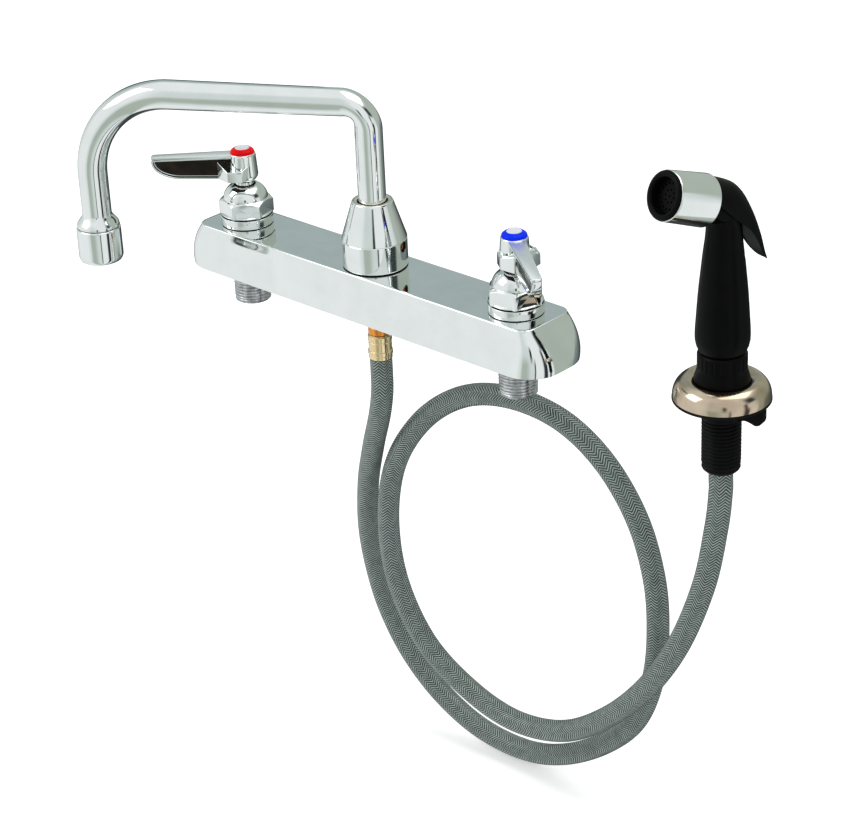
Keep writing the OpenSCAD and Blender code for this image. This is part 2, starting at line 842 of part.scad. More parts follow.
module aerator_insert() {
    top = aerator_top - 4;
    holes = 12;
    color("white") at_nozzle() translate([nozzle_reach, 0, 0]) difference() {
        rod(outlet_z + 3 + disc_gap, top, aerator_bore_d - 0.2);
        for (k = [0 : holes - 1])
            rotate([0, 0, 360 * k / holes]) translate([aerator_lip_d / 3, 0, 0])
                rod_cut(outlet_z, top + through, 1.6);
        rod_cut(outlet_z, top + through, 4);
    }
}

module aerator_washer() {
    color("black") at_nozzle() translate([nozzle_reach, 0, 0])
        tube(aerator_top - 4 + disc_gap, aerator_top - disc_gap, aerator_bore_d - 0.2, aerator_lip_d - 4);
}

// ---- Diverter and hose fittings ----

module diverter_seat() {
    color("goldenrod")
        tube(diverter_seat_z, diverter_seat_z + diverter_seat_t, spigot_bore_d - 0.06, 8);
}

module diverter_piston() {
    guide_d = adapter_bore_d - 2 * running_fit;
    color("goldenrod") union() {
        rod(piston_z, piston_z + piston_t, piston_d);
        rod(-6, piston_z + 1, guide_d - 0.2);
    }
}

module spray_outlet_adapter() {
    color("peru") difference() {
        union() {
            rod(under_recess_depth, center_floor, adapter_thread_d);
            rod(-adapter_below, center_floor, adapter_d);
        }
        rod_cut(-adapter_below - through, center_floor + through, adapter_bore_d);
    }
}

module hose_ferrule() {
    bulge = 0.4;
    color("goldenrod") difference() {
        union() {
            rod(ferrule_bottom, ferrule_top, ferrule_d - bulge);
            for (z = [ferrule_bottom + 0.2, ferrule_bottom + 6, ferrule_top - 3.4])
                rod(z, z + 2.6, ferrule_d + bulge);
        }
        rod_cut(ferrule_bottom - through, ferrule_top + through, adapter_bore_d);
    }
}

module hose_barb() {
    color("goldenrod") tube(
        ferrule_bottom, -12, adapter_bore_d - 2 * thread_fit, adapter_bore_d - 2
    );
}

module spray_hose() {
    color("lightslategray")
        swept_tube(spline_path(HOSE_ROUTE, 2), hose_d, hose_sides, [0, 1, 0]);
}

// ---- Spray holder ----

module spray_holder() {
    end_round = 2.8;
    color("black") at_spray() difference() {
        union() {
            translate([0, 0, -holder_below])
                cylinder(h = end_round, d1 = holder_shank_d - end_round, d2 = holder_shank_d);
            rod(end_round - holder_below, gasket_t + 1, holder_shank_d);
            rod(gasket_t, gasket_t + holder_flange_t, holder_flange_d);
            rod(gasket_t, holder_hub_h, holder_hub_d);
        }
        rod_cut(-holder_below - through, holder_hub_h + through, holder_bore_d);
    }
}

// Outline of the dome, an inset of it gives the inside of the sheet
function dome_r(t, r_out, r_in) = r_out - (r_out - r_in) * (1 - cos(90 * t));

module escutcheon_profile(inset) {
    rim_r = escutcheon_d / 2 - inset;
    lip_r = escutcheon_lip_d / 2 + inset;
    crest_r = (escutcheon_d / 2 + escutcheon_lip_d / 2) / 2 - 2;
    floor_z = gasket_t + disc_gap;
    top_z = escutcheon_h - inset;
    steps = 6;
    polygon(concat(
        [[lip_r, floor_z - (inset > 0 ? 1 : -holder_flange_t - 0.2)]],
        [[lip_r, escutcheon_h - 4]],
        [[(lip_r + crest_r) / 2, top_z - 0.9]],
        [
            for (k = [0 : steps])
                let (a = 90 - 90 * k / steps)
                [
                    crest_r + (rim_r - crest_r) * cos(a),
                    floor_z + 0.5 + (top_z - floor_z - 0.5) * sin(a)
                ]
        ],
        [[rim_r, floor_z - (inset > 0 ? 1 : 0)]],
        inset > 0 ? [] : [[rim_r - 3, floor_z]],
        inset > 0 ? [] : [[lip_r + 3, floor_z + holder_flange_t + 0.2]]
    ));
}

module holder_escutcheon() {
    color("tan") at_spray() rotate_extrude() difference() {
        escutcheon_profile(0);
        escutcheon_profile(escutcheon_t);
    }
}

module escutcheon_gasket() {
    color("black") at_spray()
        tube(0, gasket_t, escutcheon_d - 0.8, holder_shank_d + 2 * thread_fit);
}

module holder_wing_nut() {
    lobe_t = 5;
    tip_r = 4;
    hub_taper = 1.2;
    nut_top_d = holder_shank_d + 3.6;
    color("black") translate([spray_x, spray_y, 0]) rotate([0, 0, wing_angle]) difference() {
        union() {
            translate([0, 0, -wing_h - 0.1])
                cylinder(h = wing_h, d1 = nut_top_d - hub_taper, d2 = nut_top_d);
            for (side = [-1, 1])
                rotate([90, 0, 0]) linear_extrude(height = lobe_t, center = true)
                    union() {
                        translate([min(0, side * (wing_r - tip_r)), tip_r - wing_h - 0.1])
                            square([wing_r - tip_r, wing_h - tip_r]);
                        translate([min(0, side * wing_r), tip_r - wing_h - 0.1])
                            square([wing_r, wing_h - tip_r]);
                        translate([side * (wing_r - tip_r), tip_r - wing_h - 0.1]) circle(r = tip_r);
                    }
        }
        rod_cut(-wing_h - through, through, holder_shank_d + 2 * thread_fit);
    }
}

// ---- Spray base: collar, coupling and the hose inside the holder ----

module spray_collar() {
    flare_overhang = 0.5;
    flare_d = escutcheon_lip_d + 2 * flare_overhang;
    ribs = 24;
    color("black") at_spray() difference() {
        union() {
            translate([0, 0, collar_bottom]) cylinder(h = 2.7, d1 = flare_d - 3, d2 = flare_d);
            translate([0, 0, collar_bottom + 2.7]) cylinder(h = 6, d1 = flare_d, d2 = collar_d);
            rod(collar_bottom + 8.7, collar_top - 1.2, collar_d);
            translate([0, 0, collar_top - 1.2]) cylinder(h = 1.2, d1 = collar_d, d2 = collar_d - 2.4);
        }
        rod_cut(collar_bottom - through, collar_top + through, coupling_d + 2 * thread_fit);
        for (k = [0 : ribs - 1])
            rotate([0, 0, 360 * k / ribs]) translate([collar_d / 2, 0, 0])
                rod_cut(collar_bottom + 10.5, collar_top - 1.6, 1);
    }
}

module hose_coupling() {
    color("goldenrod") at_spray() difference() {
        union() {
            rod(coupling_barb_bottom, collar_bottom + 1.5, coupling_barb_d);
            rod(collar_bottom + 0.9, collar_top + 0.2, coupling_d);
            rod(collar_top, coupling_top, coupling_spigot_d);
        }
        rod_cut(coupling_barb_bottom - through, coupling_top + through, coupling_barb_d - 2);
    }
}

module hose_tail() {
    color("lightslategray") at_spray()
        tube(tail_bottom, collar_bottom + 0.9 - disc_gap, hose_d, coupling_barb_d + 2 * thread_fit);
}

module coupling_washer() {
    color("black") at_spray()
        tube(washer_z, washer_z + washer_t, coupling_spigot_d, 5.4);
}

// ---- Spray handset ----

// Grip and neck outline, widest just above the collar
module grip_profile() {
    grip_r = grip_d / 2;
    neck_r = neck_d / 2;
    waist_r = grip_r - 2.4;
    shoulder_z = handle_bottom + 6;
    neck_z = 91.5;
    polygon([
        [0, handle_bottom], [waist_r, handle_bottom], [grip_r, shoulder_z], [grip_r, shoulder_z + 3],
        [lerp(neck_r, grip_r, 0.9), 45], [lerp(neck_r, grip_r, 0.72), 58],
        [lerp(neck_r, grip_r, 0.52), 69], [lerp(neck_r, grip_r, 0.24), 81],
        [neck_r, neck_z], [neck_r, neck_z + 6], [0, neck_z + 6],
    ]);
}

// How far the trigger reaches from the axes of grip and head
trigger_reach = 20;

// Space that the squeezed trigger sweeps behind the neck
SWEEP_OUTLINE = [
    [11.6, 69.5], [7.1, 78.5], [7.1, 93], [1.2, 105.5], [1.2, 108], [3, 130], [30, 130], [30, 69.5],
];

module trigger_sweep() {
    side_plate(SWEEP_OUTLINE, 2 * trigger_reach);
}

// Side outline of the cheeks between the neck and the head
CHEEK_OUTLINE = [
    [-9, 91], [7.4, 91], [7.4, 93.5], [1.2, 105.5], [pin_s, pin_z],
    [-15.5, pin_z], [-18.5, 101], [-10, 97],
];
core_back = 10;

module handle_shell() {
    difference() {
        union() {
            rotate_extrude() grip_profile();
            intersection() {
                side_plate(CHEEK_OUTLINE, cheek_gap - 0.6);
                at_head() rod(-core_back, sleeve_back + 2, core_d);
            }
        }
        trigger_sweep();
    }
    at_head() rod(sleeve_back + 0.2, face_seat, core_d);
    translate([pin_s, 0, pin_z]) rotate([90, 0, 0])
        cylinder(h = cheek_gap - 0.6, r = knuckle_r, center = true);
}

// Water passage up the front of the grip, then over to the head
passage_d = 3.4;
passage_s = -6;
passage_z = upper_chamber_z + 4;
passage_turn_z = 97;
passage_reach = 15;
head_bore_d = 10;
arm_slot_s = -4.2;
arm_slot_w = 4.2;
arm_w = 3.6;
arm_s = -2.2;

module spray_handle() {
    color("black") at_spray() difference() {
        handle_shell();
        // socket, valve chambers and stem guide on the grip axis
        rod_cut(handle_bottom - through, handle_ledge, coupling_spigot_d + 2 * thread_fit);
        rod_cut(handle_ledge - through, seat_z, spray_chamber_d);
        rod_cut(seat_z - through, upper_chamber_z + through, seat_bore_d);
        rod_cut(upper_chamber_z, guide_z, spray_chamber_d);
        rod_cut(guide_z - through, slot_z + through, valve_stem_d + 2 * running_fit);
        // passage to the head
        translate([passage_s, 0, 0]) {
            rod_cut(passage_z, passage_turn_z, passage_d);
            translate([0, 0, passage_turn_z]) sphere(d = passage_d);
            translate([0, 0, passage_turn_z]) rotate([0, -30, 0])
                rod_cut(0, passage_reach, passage_d);
        }
        at_head() rod_cut(sleeve_back - 0.5, face_seat + through, head_bore_d);
        // slot for the trigger's arm
        translate([arm_slot_s, -arm_slot_w / 2, slot_z])
            cube([trigger_reach, arm_slot_w, slot_top - slot_z]);
        translate([pin_s, 0, pin_z]) rotate([90, 0, 0])
            cylinder(h = 40, d = trigger_pin_d + 2 * thread_fit, center = true);
    }
}

module spray_sleeve() {
    color("silver") at_spray() at_head() difference() {
        translate([0, 0, sleeve_back])
            cylinder(h = sleeve_len, d1 = sleeve_back_d, d2 = sleeve_front_d);
        rod_cut(sleeve_back + 0.2 - through, sleeve_front + through, core_d + 2 * thread_fit);
    }
}

module spray_face() {
    rim_t = 1.7;
    recess_d = 17;
    color("black") at_spray() at_head() difference() {
        union() {
            rod(face_seat + disc_gap, sleeve_front + 0.1, core_d);
            rod(sleeve_front + disc_gap, sleeve_front + 0.5, sleeve_front_d - 0.6);
            translate([0, 0, sleeve_front + 0.5])
                cylinder(h = rim_t - 0.5, d1 = sleeve_front_d - 0.6, d2 = sleeve_front_d - 3);
        }
        rod_cut(face_seat, sleeve_front + 3, 10);
        rod_cut(sleeve_front - 5, sleeve_front + 3, recess_d);
    }
}

module spray_screen() {
    color("black") at_spray() at_head() difference() {
        rod(sleeve_front - 5 + disc_gap, sleeve_front - 3, 17 - 0.1);
        for (ring = [1 : 2], k = [0 : 8 * ring - 1])
            rotate([0, 0, 360 * k / (8 * ring)]) translate([3.2 * ring, 0, 0])
                rod_cut(sleeve_front - 6, sleeve_front - 2, 1.1);
        rod_cut(sleeve_front - 6, sleeve_front - 2, 1.1);
    }
}

// Side outline of the trigger: over the head, down the back, to the thumb tip
TRIGGER_OUTLINE = [
    [-8.6, 120.9], [-5.3, 121.9], [0, 119.2], [4.7, 115.2], [8.6, 110.8], [12.4, 105.2],
    [16.3, 97], [20.5, 86.5], [24, 76], [25.6, 72.2], [26.4, 70.4], [25.2, 70.2], [22, 73.6],
    [18.5, 79], [15.5, 84.5], [12.5, 89], [8, 93.5], [2, 98.5], [-3.2, 103.9], [-7.6, 111],
    [-10.2, 113.6], [-10.7, 115],
];

// Half width of the trigger's blade, by distance behind the grip axis
BLADE_WIDTHS = [[0, 11.4], [12, 9.3], [20, 6.2], [28, 2.8]];
blade_bottom = 60;
blade_top = 102;
arm_len = 12;

module spray_trigger() {
    color("black") at_spray() difference() {
        intersection() {
            side_plate(TRIGGER_OUTLINE, trigger_w);
            union() {
                at_head() rod(-trigger_reach, sleeve_back - face_gap, trigger_d);
                translate([0, 0, blade_bottom]) linear_extrude(height = blade_top - blade_bottom)
                    polygon(concat(
                        [for (p = BLADE_WIDTHS) [p[0], -p[1]]],
                        [for (k = [len(BLADE_WIDTHS) - 1 : -1 : 0]) BLADE_WIDTHS[k]]
                    ));
            }
        }
        difference() {
            union() {
                side_plate([
                    [-40, 66], [11, 66], [11, 94], [1.8, pin_z], [pin_s, pin_z], [-40, pin_z],
                ], cheek_gap);
                translate([pin_s, 0, pin_z]) rotate([90, 0, 0])
                    cylinder(h = cheek_gap, r = knuckle_r + face_gap, center = true);
            }
            translate([arm_s, -arm_w / 2, arm_z0]) cube([trigger_reach, arm_w, arm_t]);
        }
        translate([pin_s, 0, pin_z]) rotate([90, 0, 0])
            cylinder(h = 40, d = trigger_pin_d + 2 * running_fit, center = true);
    }
    color("black") at_spray() translate([arm_s, -arm_w / 2, arm_z0])
        cube([arm_len, arm_w, arm_t]);
}

module trigger_pin() {
    color("silver") at_spray() translate([pin_s, 0, pin_z]) rotate([90, 0, 0])
        cylinder(h = trigger_w - 0.6, d = trigger_pin_d, center = true);
}

module spray_valve_stem() {
    color("goldenrod") at_spray() union() {
        rod(stem_bottom, stem_top, valve_stem_d);
        rod(seal_z - stem_flange_t, seal_z, 8.4);
    }
}

module spray_valve_seal() {
    color("black") at_spray()
        tube(seal_z + 0.02, seal_z + seal_t, 8.8, valve_stem_d + 0.04);
}

// Compression spring between the coupling washer and the stem's flange
module spray_valve_spring() {
    mean_r = 3.3;
    foot = washer_z + washer_t + spring_wire_d / 2 + 0.05;
    head = seal_z - stem_flange_t - spring_wire_d / 2 - 0.05;
    steps = 8 * spring_turns;
    coil = [
        for (k = [0 : steps])
            [
                mean_r * cos(45 * k), mean_r * sin(45 * k),
                lerp(foot, head, k / steps)
            ]
    ];
    color("silver") at_spray() swept_tube(coil, spring_wire_d, 6, [0, 0, 1]);
}

faucet_body();
hot_shank();
cold_shank();
hot_valve_ring();
cold_valve_ring();
hot_bonnet();
cold_bonnet();
hot_stem();
cold_stem();
hot_fixed_disc();
cold_fixed_disc();
hot_moving_disc();
cold_moving_disc();
hot_packing();
cold_packing();
hot_handle();
cold_handle();
hot_index_ring();
cold_index_ring();
hot_cap();
cold_cap();
hot_handle_screw();
cold_handle_screw();
spout_base();
spout_nut();
spout_set_screw();
swivel_sleeve();
swivel_o_rings();
swivel_thrust_washer();
spout_tube();
aerator_housing();
aerator_insert();
aerator_washer();
diverter_piston();
diverter_seat();
spray_outlet_adapter();
hose_ferrule();
hose_barb();
spray_hose();
spray_holder();
holder_escutcheon();
escutcheon_gasket();
holder_wing_nut();
spray_collar();
hose_coupling();
coupling_washer();
hose_tail();
spray_handle();
spray_sleeve();
spray_face();
spray_screen();
spray_trigger();
trigger_pin();
spray_valve_stem();
spray_valve_seal();
spray_valve_spring();
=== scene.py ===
"""Dresses the deck-mount mixing faucet: body, lever valves, swing nozzle, braided hose and side spray.

Lengths inside the classes are millimetres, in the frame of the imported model: X along the body toward the
cold valve, Y toward the back of the deck, Z up, origin on the deck under the middle of the body.
"""

from __future__ import annotations

import logging
import math
from dataclasses import dataclass, field
from enum import Enum
from typing import Callable, ClassVar, Sequence, TypeVar

import bpy
from bpy.types import Node, NodeSocket
from mathutils import Matrix, Vector

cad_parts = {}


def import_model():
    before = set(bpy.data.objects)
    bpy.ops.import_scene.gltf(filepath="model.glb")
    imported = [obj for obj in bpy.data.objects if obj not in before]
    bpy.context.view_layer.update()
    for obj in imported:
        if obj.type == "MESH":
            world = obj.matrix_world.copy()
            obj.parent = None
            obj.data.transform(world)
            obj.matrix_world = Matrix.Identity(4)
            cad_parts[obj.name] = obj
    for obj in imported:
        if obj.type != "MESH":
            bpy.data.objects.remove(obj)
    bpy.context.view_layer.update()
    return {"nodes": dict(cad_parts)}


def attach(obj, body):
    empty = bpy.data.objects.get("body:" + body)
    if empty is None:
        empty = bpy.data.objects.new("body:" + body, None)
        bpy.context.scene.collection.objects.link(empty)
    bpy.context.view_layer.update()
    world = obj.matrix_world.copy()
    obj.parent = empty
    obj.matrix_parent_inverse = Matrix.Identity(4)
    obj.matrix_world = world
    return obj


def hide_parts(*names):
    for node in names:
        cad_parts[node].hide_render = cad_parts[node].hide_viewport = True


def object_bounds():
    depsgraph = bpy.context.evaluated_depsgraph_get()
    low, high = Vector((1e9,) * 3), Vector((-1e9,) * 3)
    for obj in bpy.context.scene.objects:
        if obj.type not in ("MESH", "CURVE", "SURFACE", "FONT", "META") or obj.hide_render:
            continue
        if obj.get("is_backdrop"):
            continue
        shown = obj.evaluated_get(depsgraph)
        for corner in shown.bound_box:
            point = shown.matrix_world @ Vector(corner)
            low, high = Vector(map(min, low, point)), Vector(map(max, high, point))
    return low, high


MM = 0.001
VALVE_PLACE = 101.6
log = logging.getLogger("faucet")

Piece = bpy.types.Object
Ring = list[Vector]
Corners = Sequence[tuple[float, ...]]
Profile = list[tuple[float, float]]
Color = tuple[float, float, float]
Spot = TypeVar("Spot", float, Vector)


# ---------------------------------------------------------------- node graphs


class NodeGraph:
    """A node tree, built from plain calls."""

    def __init__(self, tree: bpy.types.NodeTree) -> None:
        """Takes the tree to build in."""
        self.tree = tree

    def node(self, kind: str, settings: dict | None = None, inputs: dict | None = None) -> Node:
        """Adds a node.

        Args:
            kind: the node's type, such as Math.
            settings: its own properties.
            inputs: values or sockets for its inputs, by name or number.

        Returns:
            The new node.
        """
        made = self.tree.nodes.new(f"ShaderNode{kind}")
        for key, value in (settings or {}).items():
            setattr(made, key, value)
        for key, value in (inputs or {}).items():
            self.feed(made, key, value)
        return made

    def feed(self, node: Node, key: str | int, value: object) -> None:
        """Sets one input of a node to a number, a colour or another node's output."""
        if isinstance(value, NodeSocket):
            self.tree.links.new(value, node.inputs[key])
        else:
            node.inputs[key].default_value = value

    def math(self, operation: str, *values: object) -> NodeSocket:
        """Adds a Math node and returns its output."""
        return self.node("Math", {"operation": operation}, dict(enumerate(values))).outputs[0]

    def ramp(self, value: object, low: float, high: float, start: float = 0, end: float = 1) -> NodeSocket:
        """Maps a value from start and end to low and high, held at both ends."""
        limits = {"From Min": start, "From Max": end, "To Min": low, "To Max": high}
        return self.node("MapRange", inputs={"Value": value, **limits}).outputs[0]

    def mix(self, factor: object, first: object, second: object) -> NodeSocket:
        """Mixes two colours.

        Args:
            factor: the share of the second colour.
            first: the first colour or socket.
            second: the second colour or socket.

        Returns:
            The mixed colour.
        """
        made = self.node("Mix", {"data_type": "RGBA"}, {0: factor})
        for index, value in ((6, first), (7, second)):
            self.feed(made, index, value if isinstance(value, NodeSocket) else (*value, 1))
        return made.outputs[2]


class Graph(NodeGraph):
    """The node graph of one material."""

    def __init__(self, name: str) -> None:
        """Starts a material of that name with its shader and output."""
        self.material = bpy.data.materials.new(name)
        self.material.use_nodes = True
        super().__init__(self.material.node_tree)
        self.shader = self.tree.nodes["Principled BSDF"]

    def shade(self, **values: object) -> None:
        """Sets sockets of the shader, named with underscores for spaces."""
        for key, value in values.items():
            self.feed(self.shader, key.replace("_", " "), value)

    def noise(self, size_mm: float, detail: float = 3) -> NodeSocket:
        """Gives noise on the piece whose blotches are about size_mm across."""
        place = self.node("TexCoord").outputs["Object"]
        settings = {"Vector": place, "Scale": 1000 / size_mm, "Detail": detail}
        return self.node("TexNoise", inputs=settings).outputs["Fac"]

    def blend(self, cloud: object, color: Color, shade: Color, end: float = 0.7) -> NodeSocket:
        """Blends two colours along a noise."""
        return self.mix(self.ramp(cloud, 0, 1, 0.35, end), color, shade)

    def bump(self, height: object, depth_mm: float, strength: float = 1) -> None:
        """Adds a relief of that depth to the shader's normal."""
        inputs = {"Height": height, "Distance": depth_mm * MM, "Strength": strength}
        self.shade(Normal=self.node("Bump", inputs=inputs).outputs[0])


# ---------------------------------------------------------------- finishes


class Finish:
    """A finish whose material is made when the first piece takes it."""

    made: ClassVar[dict[str, bpy.types.Material]] = {}
    name: str
    slot: str

    def paint(self, graph: Graph) -> None:
        """Builds the finish in a new material's graph."""
        raise NotImplementedError

    def material(self) -> bpy.types.Material:
        """Returns the finish's material, made once."""
        if self.name not in self.made:
            graph = Graph(self.name)
            self.paint(graph)
            self.made[self.name] = graph.material
        return self.made[self.name]


@dataclass(frozen=True)
class PlatedMetal(Finish):
    """Polished or brushed metal with faint wear in its gloss."""

    name: str
    slot: str
    color: Color
    shade: Color
    roughness: float
    spread: float = 0.05
    blotch: float = 9
    relief: float = 0.0

    def paint(self, graph: Graph) -> None:
        """Builds the metal."""
        cloud, fine = graph.noise(self.blotch, 4), graph.noise(self.blotch / 12, 2)
        both = graph.math("ADD", graph.math("MULTIPLY", cloud, 0.6), graph.math("MULTIPLY", fine, 0.4))
        graph.shade(
            Base_Color=graph.blend(cloud, self.color, self.shade), Metallic=1.0,
            Roughness=graph.ramp(both, self.roughness, self.roughness + self.spread, 0.3, 0.7),
        )
        if self.relief:
            graph.bump(fine, self.relief)


@dataclass(frozen=True)
class MouldedPlastic(Finish):
    """Moulded plastic, rubber or enamel with a fine skin."""

    name: str
    slot: str
    color: Color
    shade: Color
    roughness: float
    relief: float = 0.01
    coat: float = 0.0
    specular: float = 0.5
    skin: float = 0.4

    def paint(self, graph: Graph) -> None:
        """Builds the plastic."""
        cloud = graph.noise(14)
        graph.shade(
            Base_Color=graph.blend(cloud, self.color, self.shade), Specular_IOR_Level=self.specular,
            Roughness=graph.ramp(cloud, self.roughness, self.roughness + 0.08, 0.3, 0.7),
            Coat_Weight=self.coat, Coat_Roughness=0.08,
        )
        graph.bump(graph.noise(self.skin, 2), self.relief)


@dataclass(frozen=True)
class BraidedVinyl(Finish):
    """Clear-grey vinyl over a braid of thin yarns whose strands meet in chevrons."""

    name: str
    length: float
    slot: str = "hose"
    pitch: float = 1.75
    columns: float = 6
    slant: float = 3.4
    yarn_width: float = 0.26
    base: Color = (0.038, 0.070, 0.048)
    deep: Color = (0.018, 0.036, 0.024)
    yarn: Color = (0.40, 0.455, 0.45)

    def strands(self, graph: Graph) -> NodeSocket:
        """Gives 1 on the yarns and 0 between them, from the piece's UV map."""
        place = graph.node("SeparateXYZ", inputs={0: graph.node("TexCoord").outputs["UV"]})
        column = graph.math("FRACT", graph.math("MULTIPLY", place.outputs[0], self.columns))
        lean = graph.math("MULTIPLY", graph.math("ABSOLUTE", graph.math("SUBTRACT", column, 0.5)), self.slant)
        along = graph.math("DIVIDE", graph.math("MULTIPLY", place.outputs[1], self.length), self.pitch)
        phase = graph.math("FRACT", graph.math("ADD", along, lean))
        off = graph.math("ABSOLUTE", graph.math("SUBTRACT", phase, 0.5))
        return graph.ramp(off, 1, 0, self.yarn_width * 0.45, self.yarn_width)

    def paint(self, graph: Graph) -> None:
        """Builds the braid."""
        net, patch = self.strands(graph), graph.noise(6)
        ground = graph.blend(patch, self.base, self.deep, 0.65)
        faded = graph.math("MULTIPLY", net, graph.ramp(graph.noise(3, 2), 0.55, 1, 0.3, 0.6))
        graph.shade(
            Base_Color=graph.mix(faded, ground, self.yarn), Roughness=graph.ramp(patch, 0.3, 0.42, 0.3, 0.7),
            Specular_IOR_Level=0.4, Coat_Weight=0.15, Coat_Roughness=0.2,
        )
        graph.bump(net, 0.16, 0.8)


CHROME = PlatedMetal("Chrome", "chrome", (0.80, 0.83, 0.82), (0.74, 0.78, 0.77), 0.035, 0.05, 16, 0.0006)
SATIN_CHROME = PlatedMetal(
    "SatinChrome", "chrome", (0.86, 0.88, 0.88), (0.80, 0.83, 0.83), 0.36, 0.08, 12, 0.002)
# painted shade and painted dark reflection: a dark brown metal for the lever's sunk panels, sunk block top
# and underside
PAINTED_SHADE_CHROME = PlatedMetal("PaintedShadeChrome", "chrome", (0.034, 0.027, 0.021), (0.022, 0.018, 0.015), 0.3, 0.1, 6)
SHANK_STEEL = PlatedMetal(
    "ThreadSteel", "shank_steel", (0.62, 0.63, 0.64), (0.38, 0.39, 0.40), 0.12, 0.12, 3, 0.006)
DARK_STEEL = PlatedMetal(
    "DarkSteel", "dark_steel", (0.26, 0.26, 0.27), (0.16, 0.16, 0.16), 0.3, 0.15, 2, 0.005)
NICKEL = PlatedMetal("Nickel", "nickel", (0.60, 0.50, 0.38), (0.47, 0.37, 0.27), 0.10, 0.10, 11, 0.003)
BUSHING_METAL = PlatedMetal("BushingMetal", "nickel", (0.80, 0.76, 0.66), (0.66, 0.62, 0.52), 0.3, 0.1, 6)
BRASS = PlatedMetal("Brass", "brass", (0.80, 0.60, 0.27), (0.62, 0.43, 0.17), 0.15, 0.14, 3, 0.01)
PALE_BRASS = PlatedMetal("PaleBrass", "brass", (0.86, 0.70, 0.42), (0.72, 0.55, 0.28), 0.10, 0.08, 12)
COPPER = PlatedMetal("Copper", "copper", (0.90, 0.36, 0.07), (0.66, 0.23, 0.04), 0.18, 0.12, 4, 0.006)
BLACK_PLASTIC = MouldedPlastic(
    "BlackPlastic", "black_plastic", (0.0016, 0.0017, 0.0019), (0.0028, 0.0028, 0.0026), 0.3, specular=0.05)
THREAD_PLASTIC = MouldedPlastic(
    "ThreadPlastic", "black_plastic", (0.0022, 0.0023, 0.0025), (0.0036, 0.0036, 0.0034), 0.36, specular=0.07)
SEAL_RUBBER = MouldedPlastic(
    "SealRubber", "seal_rubber", (0.003, 0.003, 0.003), (0.005, 0.005, 0.005), 0.6, 0.02, specular=0.1)
WHITE_PLASTIC = MouldedPlastic("WhitePlastic", "white_plastic", (0.75, 0.75, 0.73), (0.66, 0.66, 0.64), 0.4)
CERAMIC = MouldedPlastic("Ceramic", "ceramic", (0.86, 0.85, 0.82), (0.8, 0.79, 0.76), 0.15, coat=0.4)
RED_ENAMEL = MouldedPlastic(
    "RedEnamel", "red_enamel", (0.80, 0.0, 0.002), (0.68, 0.0, 0.001), 0.25, specular=0.08)
BLUE_ENAMEL = MouldedPlastic(
    "BlueEnamel", "blue_enamel", (0.001, 0.03, 0.86), (0.001, 0.022, 0.72), 0.25, specular=0.08)
CAP_METAL = MouldedPlastic("CapMetal", "cap_metal", (0.70, 0.72, 0.75), (0.62, 0.64, 0.67), 0.3, 0.004)


# ---------------------------------------------------------------- bench tools


def about(degrees: float, axis: str = "Z") -> Matrix:
    """Gives a turn about an axis."""
    return Matrix.Rotation(math.radians(degrees), 4, axis)


def moved(x: float = 0, y: float = 0, z: float = 0) -> Matrix:
    """Gives a move in mm."""
    return Matrix.Translation((x * MM, y * MM, z * MM))


def select_only(*pieces: Piece) -> None:
    """Makes some pieces the only selected ones and the first of them active."""
    bpy.ops.object.select_all(action="DESELECT")
    for piece in pieces:
        piece.select_set(True)
    bpy.context.view_layer.objects.active = pieces[0]


def settle(piece: Piece, place: Matrix) -> Piece:
    """Moves a piece and puts its new place in its mesh.

    Args:
        piece: the object to settle.
        place: where its own frame goes.

    Returns:
        The same piece, at the origin.
    """
    piece.matrix_world = place @ piece.matrix_world
    select_only(piece)
    bpy.ops.object.transform_apply(location=True, rotation=True, scale=True)
    return piece


def smooth(piece: Piece, degrees: float = 32) -> Piece:
    """Shades a piece smooth, save at edges sharper than the angle."""
    select_only(piece)
    bpy.ops.object.shade_smooth_by_angle(angle=math.radians(degrees))
    return piece


def finished(piece: Piece) -> Piece:
    """Applies every modifier of a piece and gives the piece back."""
    select_only(piece)
    for modifier in list(piece.modifiers):
        bpy.ops.object.modifier_apply(modifier=modifier.name)
    return piece


def rounded(piece: Piece, width: float, segments: int = 3, degrees: float = 30) -> Piece:
    """Rounds a piece's sharp edges.

    Args:
        piece: the object to round.
        width: the width of the rounding in mm.
        segments: the faces across the rounding.
        degrees: the angle from which an edge counts as sharp.

    Returns:
        The same piece.
    """
    bevel = piece.modifiers.new("edges", "BEVEL")
    bevel.width, bevel.segments = width * MM, segments
    bevel.limit_method, bevel.angle_limit = "ANGLE", math.radians(degrees)
    bevel.harden_normals = False
    return smooth(finished(piece), 40)


def combined(piece: Piece, tool: Piece, operation: str) -> Piece:
    """Cuts, joins or intersects a piece with a tool, which is used up.

    Args:
        piece: the object that stays.
        tool: the object that is used up.
        operation: DIFFERENCE, UNION or INTERSECT.

    Returns:
        The piece.
    """
    cut = piece.modifiers.new("cut", "BOOLEAN")
    cut.operation, cut.solver, cut.object = operation, "EXACT", tool
    finished(piece)
    bpy.data.objects.remove(tool)
    return piece


def named(piece: Piece, name: str) -> Piece:
    """Names a piece and its mesh."""
    piece.name = piece.data.name = name
    return piece


def joined(name: str, first: Piece, *others: Piece) -> Piece:
    """Joins pieces into the first and names it."""
    select_only(first, *others)
    bpy.ops.object.join()
    return named(first, name)


